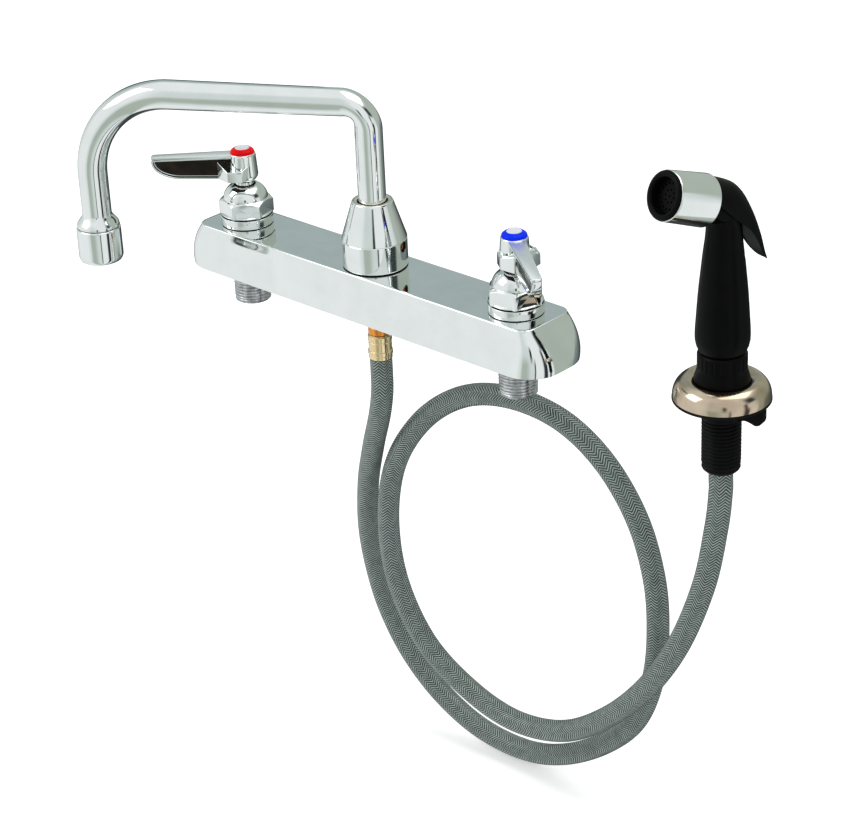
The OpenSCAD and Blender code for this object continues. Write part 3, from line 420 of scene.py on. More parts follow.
def shell(name: str, rings: Sequence[Ring]) -> Piece:
    """Wraps a grid through rings of points.

    Args:
        name: the piece's name.
        rings: the rings in order, in mm, all with as many points; a ring of equal points closes to a pole.

    Returns:
        The new piece, with its seams merged and its faces outwards.
    """
    bpy.ops.object.select_all(action="DESELECT")
    bpy.ops.mesh.primitive_grid_add(x_subdivisions=len(rings[0]), y_subdivisions=len(rings) - 1, size=1)
    piece = named(bpy.context.object, name)
    spots = [part * MM for ring in rings for point in (*ring, ring[0]) for part in point]
    piece.data.vertices.foreach_set("co", spots)
    bpy.ops.object.mode_set(mode="EDIT")
    bpy.ops.mesh.select_all(action="SELECT")
    bpy.ops.mesh.remove_doubles(threshold=2e-6)
    bpy.ops.mesh.normals_make_consistent(inside=False)
    bpy.ops.object.mode_set(mode="OBJECT")
    return smooth(piece)


def eased(points: Corners, closed: bool = True, steps: int = 5) -> Profile:
    """Rounds the corners of an outline.

    Args:
        points: (x, y) or (x, y, rounding) for each corner.
        closed: whether the outline closes on itself.
        steps: the pieces in each rounding.

    Returns:
        The outline's points, with the first repeated at the end if it is closed.
    """
    result: Profile = []
    count = len(points)
    for index, corner in enumerate(points):
        here = Vector(corner[:2])
        reach = corner[2] if len(corner) > 2 else 0.0
        if reach <= 0 or (not closed and index in (0, count - 1)):
            result.append((here.x, here.y))
            continue
        before, after = Vector(points[index - 1][:2]) - here, Vector(points[(index + 1) % count][:2]) - here
        start = here + before.normalized() * min(reach, before.length * 0.49)
        end = here + after.normalized() * min(reach, after.length * 0.49)
        for step in range(steps + 1):
            t = step / steps
            spot = (1 - t) ** 2 * start + 2 * t * (1 - t) * here + t * t * end
            result.append((spot.x, spot.y))
    return [*result, result[0]] if closed else result


def flowing(a: Spot, b: Spot, c: Spot, d: Spot, t: float) -> Spot:
    """Gives the point at a share t of the way from b to c on a smooth curve through all four."""
    bend, twist = 2 * a - 5 * b + 4 * c - d, 3 * b - a - 3 * c + d
    return 0.5 * (2 * b + (c - a) * t + bend * t * t + twist * t ** 3)


def turned(
    name: str, corners: Corners, sides: int = 96, closed: bool = True,
    shape: Callable[[float, float, float], float] = lambda radius, height, angle: radius,
) -> Piece:
    """Turns a profile about Z.

    Args:
        name: the piece's name.
        corners: (radius, height) or (radius, height, rounding) for each corner of the profile.
        sides: the faces round the axis.
        closed: whether the profile closes on itself, or runs from one point on the axis to another.
        shape: the radius for a (radius, height, angle), for ribs and threads.

    Returns:
        The new piece.
    """
    angles = [math.tau * side / sides for side in range(sides)]
    rings = []
    for radius, height in eased(corners, closed):
        reach = [(shape(radius, height, angle), angle) for angle in angles]
        rings.append([Vector((r * math.cos(angle), r * math.sin(angle), height)) for r, angle in reach])
    return shell(name, rings)


def threaded(name: str, radius: float, bore: float, low: float, high: float, pitch: float, depth: float,
             chamfer: float = 1.0, sides: int = 72) -> Piece:
    """Turns a bored shank with a true helical thread.

    Args:
        name: the piece's name.
        radius: the thread's outside radius.
        bore: the bore's radius.
        low: the height of its lower end.
        high: the height of its upper end.
        pitch: the thread's pitch.
        depth: the thread's depth.
        chamfer: the rounding of the lower end.
        sides: the faces round the axis.

    Returns:
        The new piece.
    """
    steps = int((high - low - chamfer) / pitch * 10)
    wall = [(radius, low + chamfer + (high - low - chamfer) * k / steps) for k in range(steps + 1)]
    end = [(radius - chamfer * (1 - math.sin(a)), low + chamfer * (1 - math.cos(a)))
           for a in (math.pi / 2 * k / 5 for k in range(5))]

    def crest(r: float, z: float, angle: float) -> float:
        """Gives the thread's radius at a height and an angle."""
        if r < radius - 1e-6:
            return r
        wave = 0.5 - 0.5 * math.cos(math.tau * (z / pitch - angle / math.tau))
        fade = min(1.0, (z - low - chamfer) / pitch + 0.15)
        return r - depth * fade * wave ** 1.4 - (1 - fade) * depth * 0.6

    return turned(name, [(bore, high), (bore, low + 0.5), (bore + 0.5, low), *end, *wall], sides, shape=crest)


def plate(name: str, outline: Corners, low: float, high: float) -> Piece:
    """Extrudes an outline in X and Y from one height to another.

    Args:
        name: the piece's name.
        outline: the outline's points in order.
        low: the lower height.
        high: the upper height.

    Returns:
        The new piece.
    """
    bpy.ops.object.select_all(action="DESELECT")
    bpy.ops.mesh.primitive_circle_add(vertices=len(outline), radius=1, fill_type="NGON")
    piece = named(bpy.context.object, name)
    spots = [part * MM for x, y in outline for part in (x, y, low)]
    piece.data.vertices.foreach_set("co", spots)
    bpy.ops.object.mode_set(mode="EDIT")
    bpy.ops.mesh.select_all(action="SELECT")
    bpy.ops.mesh.extrude_region_move(TRANSFORM_OT_translate={"value": (0, 0, (high - low) * MM)})
    bpy.ops.mesh.select_all(action="SELECT")
    bpy.ops.mesh.normals_make_consistent(inside=False)
    bpy.ops.object.mode_set(mode="OBJECT")
    return piece


def upright(name: str, outline: Corners, half: float) -> Piece:
    """Makes a plate from an outline in X and Z, half on each side of the middle plane."""
    return settle(plate(name, outline, -half, half), about(90, "X"))


def pocket(piece: Piece, normal: Vector, border: float, depth: float) -> Piece:
    """Sinks a panel into the largest flat face that looks one way.

    Args:
        piece: the object to work on.
        normal: the way the face looks.
        border: the rim left round the panel, in mm.
        depth: how deep the panel lies, in mm.

    Returns:
        The same piece.
    """
    facing = [f for f in piece.data.polygons if f.normal.dot(normal) > 0.99]
    largest = max(facing, key=lambda f: f.area).index
    select_only(piece)
    bpy.ops.object.mode_set(mode="EDIT")
    bpy.ops.mesh.select_mode(type="FACE")
    bpy.ops.mesh.select_all(action="DESELECT")
    bpy.ops.object.mode_set(mode="OBJECT")
    piece.data.polygons[largest].select = True
    bpy.ops.object.mode_set(mode="EDIT")
    bpy.ops.mesh.inset(thickness=border * MM, depth=0)
    bpy.ops.mesh.inset(thickness=0.35 * MM, depth=-depth * MM)
    bpy.ops.object.mode_set(mode="OBJECT")
    return piece


def marked(piece: Piece, test: Callable[[Vector, Vector], bool]) -> list[int]:
    """Lists the faces that a test picks by their centre, in mm, and their normal."""
    return [face.index for face in piece.data.polygons if test(face.center / MM, face.normal)]


def accent(piece: Piece, finish: Finish, faces: Sequence[int]) -> None:
    """Gives some faces of a dressed piece one more finish."""
    piece.data.materials.append(finish.material())
    for index in faces:
        piece.data.polygons[index].material_index = len(piece.data.materials) - 1


def fit(piece: Piece, body: str, finish: Finish, *nodes: str, slot: str = "") -> None:
    """Dresses a piece, sets it on its body and lets it stand for CAD nodes.

    Args:
        piece: the finished piece.
        body: the body it rides on.
        finish: its finish.
        nodes: the CAD nodes it replaces.
        slot: not used; the record's material slot it would take, if not the finish's.
    """
    piece.data.materials.clear()
    piece.data.materials.append(finish.material())
    if nodes:
        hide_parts(*nodes)
    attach(piece, body)
    log.info("%s rides on %s for %s", piece.name, body, ", ".join(nodes) or "detail")


def dress(frame: dict, finish: Finish, *nodes: str) -> None:
    """Gives CAD nodes that stay a finish of their own.

    Args:
        finish: the finish.
        nodes: the nodes' names.
    """
    for node in nodes:
        mesh = frame["nodes"][node].data
        mesh.materials.clear()
        mesh.materials.append(finish.material())
        log.info("%s keeps its solid, finish %s", node, finish.name)


# ---------------------------------------------------------------- studio


@dataclass
class Studio:
    """Camera, floor, soft lights and the surroundings that the metal mirrors."""

    eye: tuple[float, float, float] = (0.890541, -0.893049, 0.565063)
    right: tuple[float, float, float] = (0.734606, 0.677212, -0.041694)
    down: tuple[float, float, float] = (0.276589, -0.355011, -0.893009)
    ahead: tuple[float, float, float] = (-0.619558, 0.644478, -0.448103)
    focal_px: float = 2500
    frame_px: float = 850
    sensor_mm: float = 36
    floor_gap: float = 3.0

    def camera(self) -> None:
        """Sets the camera at its place and angle."""
        data = bpy.data.cameras.new("Camera")
        data.sensor_fit, data.sensor_width = "HORIZONTAL", self.sensor_mm
        data.lens = self.focal_px * self.sensor_mm / self.frame_px
        data.clip_start, data.clip_end = 0.05, 60
        camera = bpy.data.objects.new("Camera", data)
        axes = (Vector(self.right), -Vector(self.down), -Vector(self.ahead))
        aim = Matrix([[axis[row] for axis in axes] for row in range(3)]).to_4x4()
        camera.matrix_world = Matrix.Translation(self.eye) @ aim
        bpy.context.scene.collection.objects.link(camera)
        bpy.context.scene.camera = camera

    def floor(self, lowest: float) -> None:
        """Lays a pale floor under the hose.

        Args:
            lowest: the height of the object's lowest point, in metres.
        """
        bpy.ops.object.select_all(action="DESELECT")
        bpy.ops.mesh.primitive_plane_add(size=14, location=(0, 0, lowest - self.floor_gap * MM))
        plane = bpy.context.object
        plane.name = "StudioFloor"
        settle(plane, Matrix())
        graph = Graph("FloorPaper")
        graph.shade(Base_Color=(0.93, 0.93, 0.93, 1), Roughness=0.9, Specular_IOR_Level=0.1)
        rays = graph.node("LightPath").outputs["Is Camera Ray"]
        back = graph.node("NewGeometry").outputs["Backfacing"]
        lift = graph.node("Emission", inputs={"Strength": graph.math("MULTIPLY", rays, 0.30)})
        both = graph.node("AddShader", inputs={0: graph.shader.outputs[0], 1: lift.outputs[0]})
        clear = graph.node("BsdfTransparent")
        pick = graph.node("MixShader", inputs={0: back, 1: both.outputs[0], 2: clear.outputs[0]})
        graph.feed(graph.tree.nodes["Material Output"], "Surface", pick.outputs[0])
        plane.data.materials.append(graph.material)
        plane.visible_glossy = False
        plane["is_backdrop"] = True

    def lamp(self, name: str, place: tuple[float, float, float], size: float, watts: float) -> None:
        """Hangs a soft square lamp that looks at the faucet.

        Args:
            name: the lamp's name.
            place: where it hangs, in metres.
            size: its side in metres.
            watts: its power.
        """
        data = bpy.data.lights.new(name, "AREA")
        data.shape, data.size, data.energy = "SQUARE", size, watts
        lamp = bpy.data.objects.new(name, data)
        lamp.location = place
        lamp.rotation_euler = (Vector((0.05, 0, 0)) - Vector(place)).to_track_quat("-Z", "Y").to_euler()
        bpy.context.scene.collection.objects.link(lamp)

    def surroundings(self) -> None:
        """Paints the room that the metal mirrors: white panels parted by grey and dark strips."""
        world = bpy.data.worlds.new("Room")
        bpy.context.scene.world = world
        world.use_nodes = True
        graph = NodeGraph(world.node_tree)
        graph.tree.nodes.clear()
        way = graph.node("SeparateXYZ", inputs={0: graph.node("TexCoord").outputs["Generated"]}).outputs
        # share of the way round from behind the camera's back, 0.5 at the camera
        toward = math.atan2(self.eye[1], self.eye[0])
        bearing = graph.math("SUBTRACT", graph.math("ARCTAN2", way[1], way[0]), toward)
        share = graph.math("FRACT", graph.math("ADD", graph.math("DIVIDE", bearing, math.tau), 1.5))

        def strip(*stops: tuple[float, Color]) -> NodeSocket:
            """Paints a strip round the room.

            Args:
                stops: (degrees from the camera, colour) for each stop.

            Returns:
                The strip's colour.
            """
            made = graph.node("ValToRGB", inputs={"Fac": share})
            elements = made.color_ramp.elements
            for index, (degrees, color) in enumerate(stops):
                spot = (degrees + 180) / 360
                stop = elements[index] if index < 2 else elements.new(spot)
                stop.position, stop.color = spot, (*color, 1)
            return made.outputs[0]

        white, pale, grey = (0.95, 0.97, 0.97), (0.74, 0.79, 0.78), (0.24, 0.28, 0.28)
        green, teal = (0.48, 0.53, 0.47), (0.42, 0.49, 0.49)
        dark, black = (0.05, 0.06, 0.06), (0.012, 0.014, 0.012)
        low = strip(
            (-180, dark), (-160, dark), (-150, pale), (-120, white), (-60, white), (-44, pale), (-38, green),
            (-22, green), (-6, pale), (7, pale), (9, black), (12, black), (13, white), (40, white),
            (45, dark), (55, black), (58, white), (78, white), (82, green), (96, green), (104, grey),
            (150, dark), (180, dark),
        )
        high = strip(
            (-180, dark), (-160, dark), (-150, pale), (-125, pale), (-110, white), (-50, white), (-35, pale),
            (-8, pale), (-5, black), (1, black), (3, white), (40, white), (46, black), (50, black),
            (53, white), (76, pale), (84, green), (180, green),
        )
        upper = strip(
            (-180, teal), (-150, teal), (-125, pale), (-110, white), (-50, white), (-35, pale), (0, white),
            (45, white), (58, dark), (74, dark), (82, green), (150, green), (165, teal), (180, teal),
        )
        sides = graph.mix(graph.ramp(way[2], 0, 1, -0.22, 0.06), low, high)
        tops = graph.mix(graph.ramp(way[2], 0, 1, 0.22, 0.36), sides, upper)
        room = graph.mix(graph.ramp(way[2], 0, 1, 0.6, 0.8), tops, white)
        rays = graph.node("LightPath").outputs

        def light(color: object, strength: float = 1.0) -> NodeSocket:
            """Gives a background of one colour."""
            return graph.node("Background", inputs={"Color": color, "Strength": strength}).outputs[0]

        def pick(ray: str, other: NodeSocket, own: NodeSocket) -> NodeSocket:
            """Gives one kind of ray a background of its own."""
            return graph.node("MixShader", inputs={0: rays[ray], 1: other, 2: own}).outputs[0]

        mirrored = pick("Is Glossy Ray", light((0.95, 0.96, 0.97, 1), 0.8), light(room))
        seen = pick("Is Camera Ray", mirrored, light((1, 1, 1, 1)))
        graph.node("OutputWorld", inputs={"Surface": seen})

    def build(self) -> None:
        """Sets the camera, lamps, floor and surroundings."""
        self.camera()
        self.floor(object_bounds()[0][2])
        self.lamp("LampLeft", (-1.3, -1.5, 1.5), 1.4, 16)
        self.lamp("LampTop", (0.4, 0.5, 1.9), 1.6, 12)
        self.surroundings()
        view = bpy.context.scene.view_settings
        view.view_transform = "Standard"
        log.info("Studio: camera, floor, two lamps and the room")


# ---------------------------------------------------------------- hose


@dataclass
class BraidedHose:
    """The hose from the ferrule through its two loops to the holder."""

    diameter: float = 12.7
    sides: int = 36
    step: float = 1.6
    route: list[tuple[float, float, float]] = field(default_factory=lambda: [
        (0, 0, -31.3), (0, 0, -41), (-0.8, 0.3, -53), (-6, 2.5, -70), (-17, 7, -95), (-30, 14, -126),
        (-38, 20, -160), (-40, 26, -192), (-35, 30, -221), (-19, 31, -247), (5, 32, -268), (36, 33, -281),
        (70, 35, -283), (100, 36, -273), (128, 38, -254), (150, 38, -229), (162, 38, -197), (167, 36, -162),
        (165, 35, -129), (155, 33, -95), (136, 29, -65), (109, 26, -47), (75, 24, -43), (44, 20, -50),
        (16, 16, -71), (-4, 12, -103), (-9, 8, -140), (-3, 7, -180), (16, 9, -216), (46, 12, -238),
        (80, 13, -246), (114, 15, -240), (144, 16, -220), (171, 17, -191), (193, 19, -155), (208, 22, -113),
        (214.5, 24, -76), (217, 24, -54), (217, 24, -46), (217, 24, -41.3),
    ])

    def centre_line(self) -> list[Vector]:
        """Gives points on the smooth route, evenly spaced."""
        points = [Vector(p) for p in self.route]
        points = [2 * points[0] - points[1], *points, 2 * points[-1] - points[-2]]
        dense: list[Vector] = []
        for a, b, c, d in zip(points, points[1:], points[2:], points[3:]):
            for k in range(30):
                t = k / 30
                dense.append(flowing(a, b, c, d, t))
        dense.append(points[-2])
        reach = [0.0]
        for first, second in zip(dense, dense[1:]):
            reach.append(reach[-1] + (second - first).length)
        count = round(reach[-1] / self.step)
        even, index = [], 0
        for k in range(count + 1):
            goal = reach[-1] * k / count
            while index < len(dense) - 2 and reach[index + 1] < goal:
                index += 1
            share = (goal - reach[index]) / (reach[index + 1] - reach[index])
            even.append(dense[index].lerp(dense[index + 1], share))
        return even

    def build(self) -> None:
        line = self.centre_line()
        length = sum((b - a).length for a, b in zip(line, line[1:]))
        side = Vector((1, 0, 0))
        rings = []
        for index, spot in enumerate(line):
            ahead = (line[min(index + 1, len(line) - 1)] - line[max(index - 1, 0)]).normalized()
            side = (side - ahead * side.dot(ahead)).normalized()
            other = ahead.cross(side)
            rings.append([
                spot + self.diameter / 2 * (math.cos(a) * side + math.sin(a) * other)
                for a in (math.tau * k / self.sides for k in range(self.sides))
            ])
        rings = [[line[0]] * self.sides, *rings, [line[-1]] * self.sides]
        hose = shell("braided_hose", rings)
        fit(hose, "faucet", BraidedVinyl("BraidedVinyl", length), "spray_hose")
        log.info("Hose: %.0f mm along its centre line", length)


# ---------------------------------------------------------------- body and shanks


@dataclass
class BodyBar:
    """The cast body that both valves and the nozzle stand on."""

    height: float = 25.4
    top: tuple[float, float, float] = (247.3, 38.1, 7.5)
    bottom: tuple[float, float, float] = (268.3, 48.0, 18.5)
    edge: float = 0.9
    arc: int = 9
    end_curve: float = 2.2
    side_curve: float = 1.5
    sag: float = 0.35

    def outline(self, length: float, width: float, corner: float, height: float) -> Ring:
        """Gives a rounded rectangle at a height.

        Args:
            length: its size along X.
            width: its size along Y.
            corner: its corners' radius.
            height: its height.

        Returns:
            Its points in order.
        """
        ring = []
        for quarter, (sx, sy) in enumerate(((1, 1), (-1, 1), (-1, -1), (1, -1))):
            for k in range(self.arc + 1):
                angle = math.pi / 2 * (quarter + k / self.arc)
                ring.append(Vector((
                    sx * (length / 2 - corner) + corner * math.cos(angle),
                    sy * (width / 2 - corner) + corner * math.sin(angle), height,
                )))
        return ring

    def level(self, share: float, inset: float = 0.0, lift: float = 0.0) -> Ring:
        """Gives the body's outline at one level.

        Args:
            share: the share of the body's height.
            inset: how far the outline is drawn in.
            lift: how far it is raised.

        Returns:
            The outline's points in order.
        """
        length = self.bottom[0] + (self.top[0] - self.bottom[0]) * share ** self.end_curve
        width = self.bottom[1] + (self.top[1] - self.bottom[1]) * share ** self.side_curve
        corner = self.bottom[2] + (self.top[2] - self.bottom[2]) * share
        return self.outline(
            length - 2 * inset, width - 2 * inset, max(corner - inset, 1), self.height * share + lift
        )

    def build(self) -> None:
        """Makes the body."""
        rings = [[Vector((0, 0, 0))] * (4 * (self.arc + 1)), self.level(0, 2.0), self.level(0, 0.5)]
        shoulder = 1 - self.edge / self.height
        rings += [self.level(u * shoulder, 0.0, self.sag * (1 - u)) for u in (k / 14 for k in range(15))]
        for k in range(1, 5):
            angle = math.pi / 2 * k / 4
            rings.append(self.level(
                shoulder, self.edge * (1 - math.cos(angle)), self.edge * math.sin(angle)
            ))
        rings.append(self.level(shoulder, self.edge + 1.2, self.edge))
        rings.append([Vector((0, 0, self.height))] * (4 * (self.arc + 1)))
        fit(shell("body_bar", rings), "faucet", CHROME, "faucet_body", slot="body_chrome")


@dataclass
class InletShanks:
    """The two threaded inlet shanks under the body."""

    place: float = VALVE_PLACE
    radius: float = 10.48
    bore: float = 6.5
    below: float = 22
    pitch: float = 1.814

    def build(self) -> None:
        """Makes both shanks."""
        for side in Side:
            shank = threaded(
                f"{side.label}_inlet_thread", self.radius, self.bore, -self.below, 1.0, self.pitch, 1.0, 1.2
            )
            settle(shank, moved(side.value * self.place))
            fit(shank, "faucet", SHANK_STEEL, f"{side.label}_shank")


# ---------------------------------------------------------------- valves and levers


class Side(Enum):
    """The hot (left) or cold (right) valve, as the sign of its place along X."""

    HOT = -1
    COLD = 1

    @property
    def label(self) -> str:
        """The word that its nodes start with."""
        return self.name.lower()

    @property
    def hex_turn(self) -> float:
        """The way its bonnet's first corner points, in degrees."""
        return -15 if self is Side.HOT else 9.5

    @property
    def enamel(self) -> MouldedPlastic:
        """The finish of its index ring."""
        return RED_ENAMEL if self is Side.HOT else BLUE_ENAMEL


@dataclass
class Valve:
    """One valve's ring, hexagon bonnet with its dome, and the spindle's neck."""

    side: Side
    place: float = VALVE_PLACE
    deck: float = 25.4
    ring_radius: float = 15.0
    bore: float = 10.1
    ring_height: float = 6.3
    hex_flats: float = 27.0
    hex_top: float = 41.0
    dome_top: float = 48.7
    dome_top_radius: float = 6.8
    spindle_radius: float = 5.35

    def at_valve(self) -> Matrix:
        """The valve axis."""
        return moved(self.side.value * self.place)

    def set(self, piece: Piece, body: str, finish: Finish, *nodes: str) -> None:
        """Moves a piece to the valve axis and fits it."""
        fit(settle(piece, self.at_valve()), body, finish, *nodes)

    def ring(self) -> None:
        """Makes the ring under the bonnet and, above and below it, dark rubber rings that paint the shadow in
        the gaps.
        """
        r, low, high = self.ring_radius, self.deck, self.deck + self.ring_height
        thin, thick = 0.4, 0.8
        bore, seal_r = self.bore, r - 0.25
        ring = [(bore, low + thin), (r, low + thin, 0.35), (r, high - thick, 0.5), (bore, high - thick)]
        label = self.side.label
        self.set(turned(f"{label}_bonnet_ring", ring), "faucet", CHROME, f"{label}_valve_ring")
        # painted shadow: thin dark rings fill the gaps above and below the ring, where only shade falls
        for name, z, seam in (("lower", low, thin), ("upper", high - thick, thick)):
            seal = [(bore, z), (seal_r, z, 0.1), (seal_r, z + seam, 0.1), (bore, z + seam)]
            self.set(turned(f"{label}_{name}_seam", seal), "faucet", SEAL_RUBBER)

    def bonnet(self) -> None:
        """Makes the hexagon and dome as one turned and milled piece."""
        low, flat = self.deck + self.ring_height, self.hex_flats / 2
        corner = flat / math.cos(math.pi / 6)
        dome = []
        for k in range(15):
            t = k / 14
            belly = (1 - t ** 1.8) ** 0.7 if t < 1 else 0.0
            dome.append((self.dome_top_radius + (flat - 0.8 - self.dome_top_radius) * belly,
                         self.hex_top + (self.dome_top - self.hex_top) * t))
        profile = [(0, low), (corner - 0.2, low), (corner + 0.1, low + 0.3),
                   (corner + 0.1, self.hex_top - 2.1),
                   (flat - 0.6, self.hex_top - 0.1), *dome]
        profile += [(6.3, self.dome_top + 0.05), (6.0, self.dome_top - 1.2), (0, self.dome_top - 1.2)]
        bonnet = turned("envelope", profile, closed=False)
        hexagon = plate("hexagon", [
            (corner * math.cos(a), corner * math.sin(a))
            for a in (math.radians(self.side.hex_turn + 60 * k) for k in range(6))
        ], low, self.dome_top + 1)
        combined(bonnet, hexagon, "INTERSECT")
        named(bonnet, f"{self.side.label}_hex_bonnet")
        rounded(bonnet, 0.18, 2, 20)
        washer = turned("washer", [
            (0, low), (14.7, low, 0.2), (14.7, low + 0.6, 0.3), (13.9, low + 1.0, 0.2), (0, low + 1.0),
        ], closed=False)
        combined(bonnet, washer, "UNION")
        self.set(smooth(bonnet, 40), "faucet", CHROME, f"{self.side.label}_bonnet")

    def neck(self) -> None:
        """Makes the spindle's neck and the dark wiper round it."""
        label, r = self.side.label, self.spindle_radius
        wiper = [(r + 0.1, self.dome_top - 1.1), (6.1, self.dome_top - 1.1), (6.4, self.dome_top + 0.15, 0.3),
                 (r + 0.1, self.dome_top + 0.35, 0.3)]
        self.set(turned(f"{label}_wiper", wiper), "faucet", SEAL_RUBBER)
        neck = [(0, 46), (r, 46), (r, 52.1), (3.4, 52.15), (3.4, 62.7), (0, 62.7)]
        self.set(turned(f"{label}_spindle", neck, closed=False), f"{label}_lever", CHROME, f"{label}_stem")

    def build(self) -> None:
        """Makes the valve."""
        self.ring()
        self.bonnet()
        self.neck()


@dataclass
class Lever:
    """One lever handle with its hub, index ring and cap."""

    side: Side
    place: float = VALVE_PLACE
    forward: float = 37
    hub_low: float = 52.2
    hub_top: float = 67.5
    hub_radius: float = 7.9
    top: float = 67.4
    fall: float = 2.2
    length: float = 52.5
    tip_height: float = 3.2
    flange_height: float = 1.35
    block_height: float = 7.2
    block_halves: tuple[float, float] = (12.0, 9.5)
    block_slope: float = 0.38
    block_underside_slope: float = 0.1
    block_border: float = 0.6
    block_depth: float = 1.6
    flange_halves: tuple[float, float] = (4.8, 2.9)
    fin_half: float = 3.1
    fin_curl: float = 16.5
    fin_taper: float = 0.2
    panel_border: float = 0.95
    panel_depth: float = 2.2

    def crown(self, x: float) -> float:
        """Gives the height of the sloping top at a distance from the hub's axis."""
        return self.top - self.fall * x / self.length

    def block_rise(self, y: float) -> float:
        """Gives how far the block's sloping top stands above its edge, at a distance across."""
        return self.block_slope * max(0.0, self.block_halves[0 if y > 0 else 1] - abs(y))

    def at_lever(self) -> Matrix:
        """The lever's own frame: X along the lever."""
        heading = -self.forward if self.side is Side.COLD else 180 + self.forward
        return moved(self.side.value * self.place) @ about(heading)

    def set(self, piece: Piece, finish: Finish, *nodes: str) -> None:
        """Moves a piece to the lever and fits it to the lever's body."""
        fit(settle(piece, self.at_lever()), f"{self.side.label}_lever", finish, *nodes)

    def hub(self) -> Piece:
        """Turns the hub."""
        low, high, r = self.hub_low, self.hub_top, self.hub_radius
        return turned("hub", [
            (3.6, low), (5.45, low), (5.45, low - 1.2, 0.2), (6.1, low - 1.2, 0.3), (r + 0.4, low + 1.6, 1.5),
            (r - 0.45, high - 0.8, 0.5), (r - 0.9, high, 0.3), (4.7, high), (4.7, 63), (3.6, 63),
        ])

    def fin(self) -> Piece:
        """Makes the deep fin with a sunk panel on each side."""
        low, under = self.hub_low, self.flange_height + 0.3
        curl_z = self.crown(self.length) - self.tip_height
        outline = [(4.0, self.crown(4.0) - under), (4.0, low)]
        for k in range(15):
            angle = math.pi / 2 * k / 14
            outline.append((
                self.length - self.fin_curl * (1 - math.sin(angle)),
                curl_z - (curl_z - low) * math.cos(angle),
            ))
        outline.append((self.length - 0.3, self.crown(self.length) - under))
        fin = upright("fin", outline, self.fin_half)
        for way in (-1, 1):
            pocket(fin, Vector((0, way, 0)), self.panel_border, self.panel_depth)
        for vertex in fin.data.vertices:
            vertex.co.y *= 1 - self.fin_taper * vertex.co.x / (self.length * MM)
        return rounded(fin, 0.28, 2, 25)

    def flange(self) -> Piece:
        """Makes the narrow top flange."""
        (root, tip), x = self.flange_halves, self.length
        outline = eased([(0, root), (0, -root), (x, -tip, 1.0), (x + 0.2, 0), (x, tip, 1.0)])[:-1]
        flange = plate("flange", outline, self.top - self.flange_height, self.top)
        for vertex in flange.data.vertices:
            vertex.co.z -= self.fall / self.length * vertex.co.x
        return rounded(flange, 0.3, 2, 30)

    def block(self) -> Piece:
        """Makes the faceted block between hub and fin, with its sunk top."""
        far, near = self.block_halves
        outline = [(-4.0, 6.6), (-0.9, 11.4), (7.3, far), (14.4, 3.4), (14.4, -3.4), (8.6, -near), (0, -near),
                   (-3.0, -7.0)]
        block = plate("block", outline, self.hub_low, self.hub_low + self.block_height)
        pocket(block, Vector((0, 0, 1)), self.block_border, self.block_depth)
        for vertex in block.data.vertices:
            if vertex.co.z < (self.hub_low + 1) * MM:
                vertex.co.z += self.block_underside_slope * abs(vertex.co.y)
            else:
                vertex.co.z += self.block_rise(vertex.co.y / MM) * MM
        return rounded(block, 0.25, 2, 25)

    def in_painted_shade(self, spot: Vector, way: Vector) -> bool:
        """Tells whether a face lies in the sunk panels, in the block's sunk top or on its underside, where
        shade and dark reflections are painted.
        """
        panel = abs(way.y) > 0.95 and abs(spot.y) < 2.4 and self.hub_low + 0.5 < spot.z < self.top - 2.5
        rim = self.hub_low + self.block_height + self.block_rise(spot.y)
        sunk = 0.85 < way.z < 0.97 and spot.z < rim - 1.0
        return panel or sunk or (way.z < -0.9 and spot.z < self.hub_low + 1.6 and abs(spot.x) < 15)

    def brushed(self, spot: Vector, way: Vector) -> bool:
        """Tells whether a face lies on the flange's top."""
        return way.z > 0.98 and spot.x > 5 and abs(spot.z - self.crown(spot.x)) < 0.3

    def handle(self) -> None:
        """Joins the handle's forms into one piece."""
        fin, flange, block, hub = self.fin(), self.flange(), self.block(), self.hub()
        handle = joined(f"{self.side.label}_lever_handle", hub, fin, flange, block)
        painted_shade_faces, crowns = marked(handle, self.in_painted_shade), marked(handle, self.brushed)
        self.set(handle, CHROME, f"{self.side.label}_handle")
        # painted shade: these faces take a dark metal in place of the shade and dark reflections in the
        # recesses and underneath
        accent(handle, PAINTED_SHADE_CHROME, painted_shade_faces)
        accent(handle, SATIN_CHROME, crowns)

    def index(self) -> None:
        """Makes the coloured index ring and the bare centre cap."""
        label, z = self.side.label, self.hub_top
        ring = [(4.2, z), (6.95, z, 0.2), (6.7, z + 1.4, 0.6), (4.5, z + 2.95, 0.3), (4.2, z + 2.85)]
        self.set(turned(f"{label}_enamel_ring", ring), self.side.enamel, f"{label}_index_ring")
        cap = [(0, z - 1), (4.12, z - 1), (4.12, z + 2.9, 0.25), (3.7, z + 3.2, 0.2), (3.2, z + 3.05),
               (0, z + 3.15)]
        self.set(turned(f"{label}_centre_cap", cap, closed=False), CAP_METAL, f"{label}_cap")

    def build(self) -> None:
        """Makes the lever."""
        self.handle()
        self.index()


# ---------------------------------------------------------------- centre and nozzle


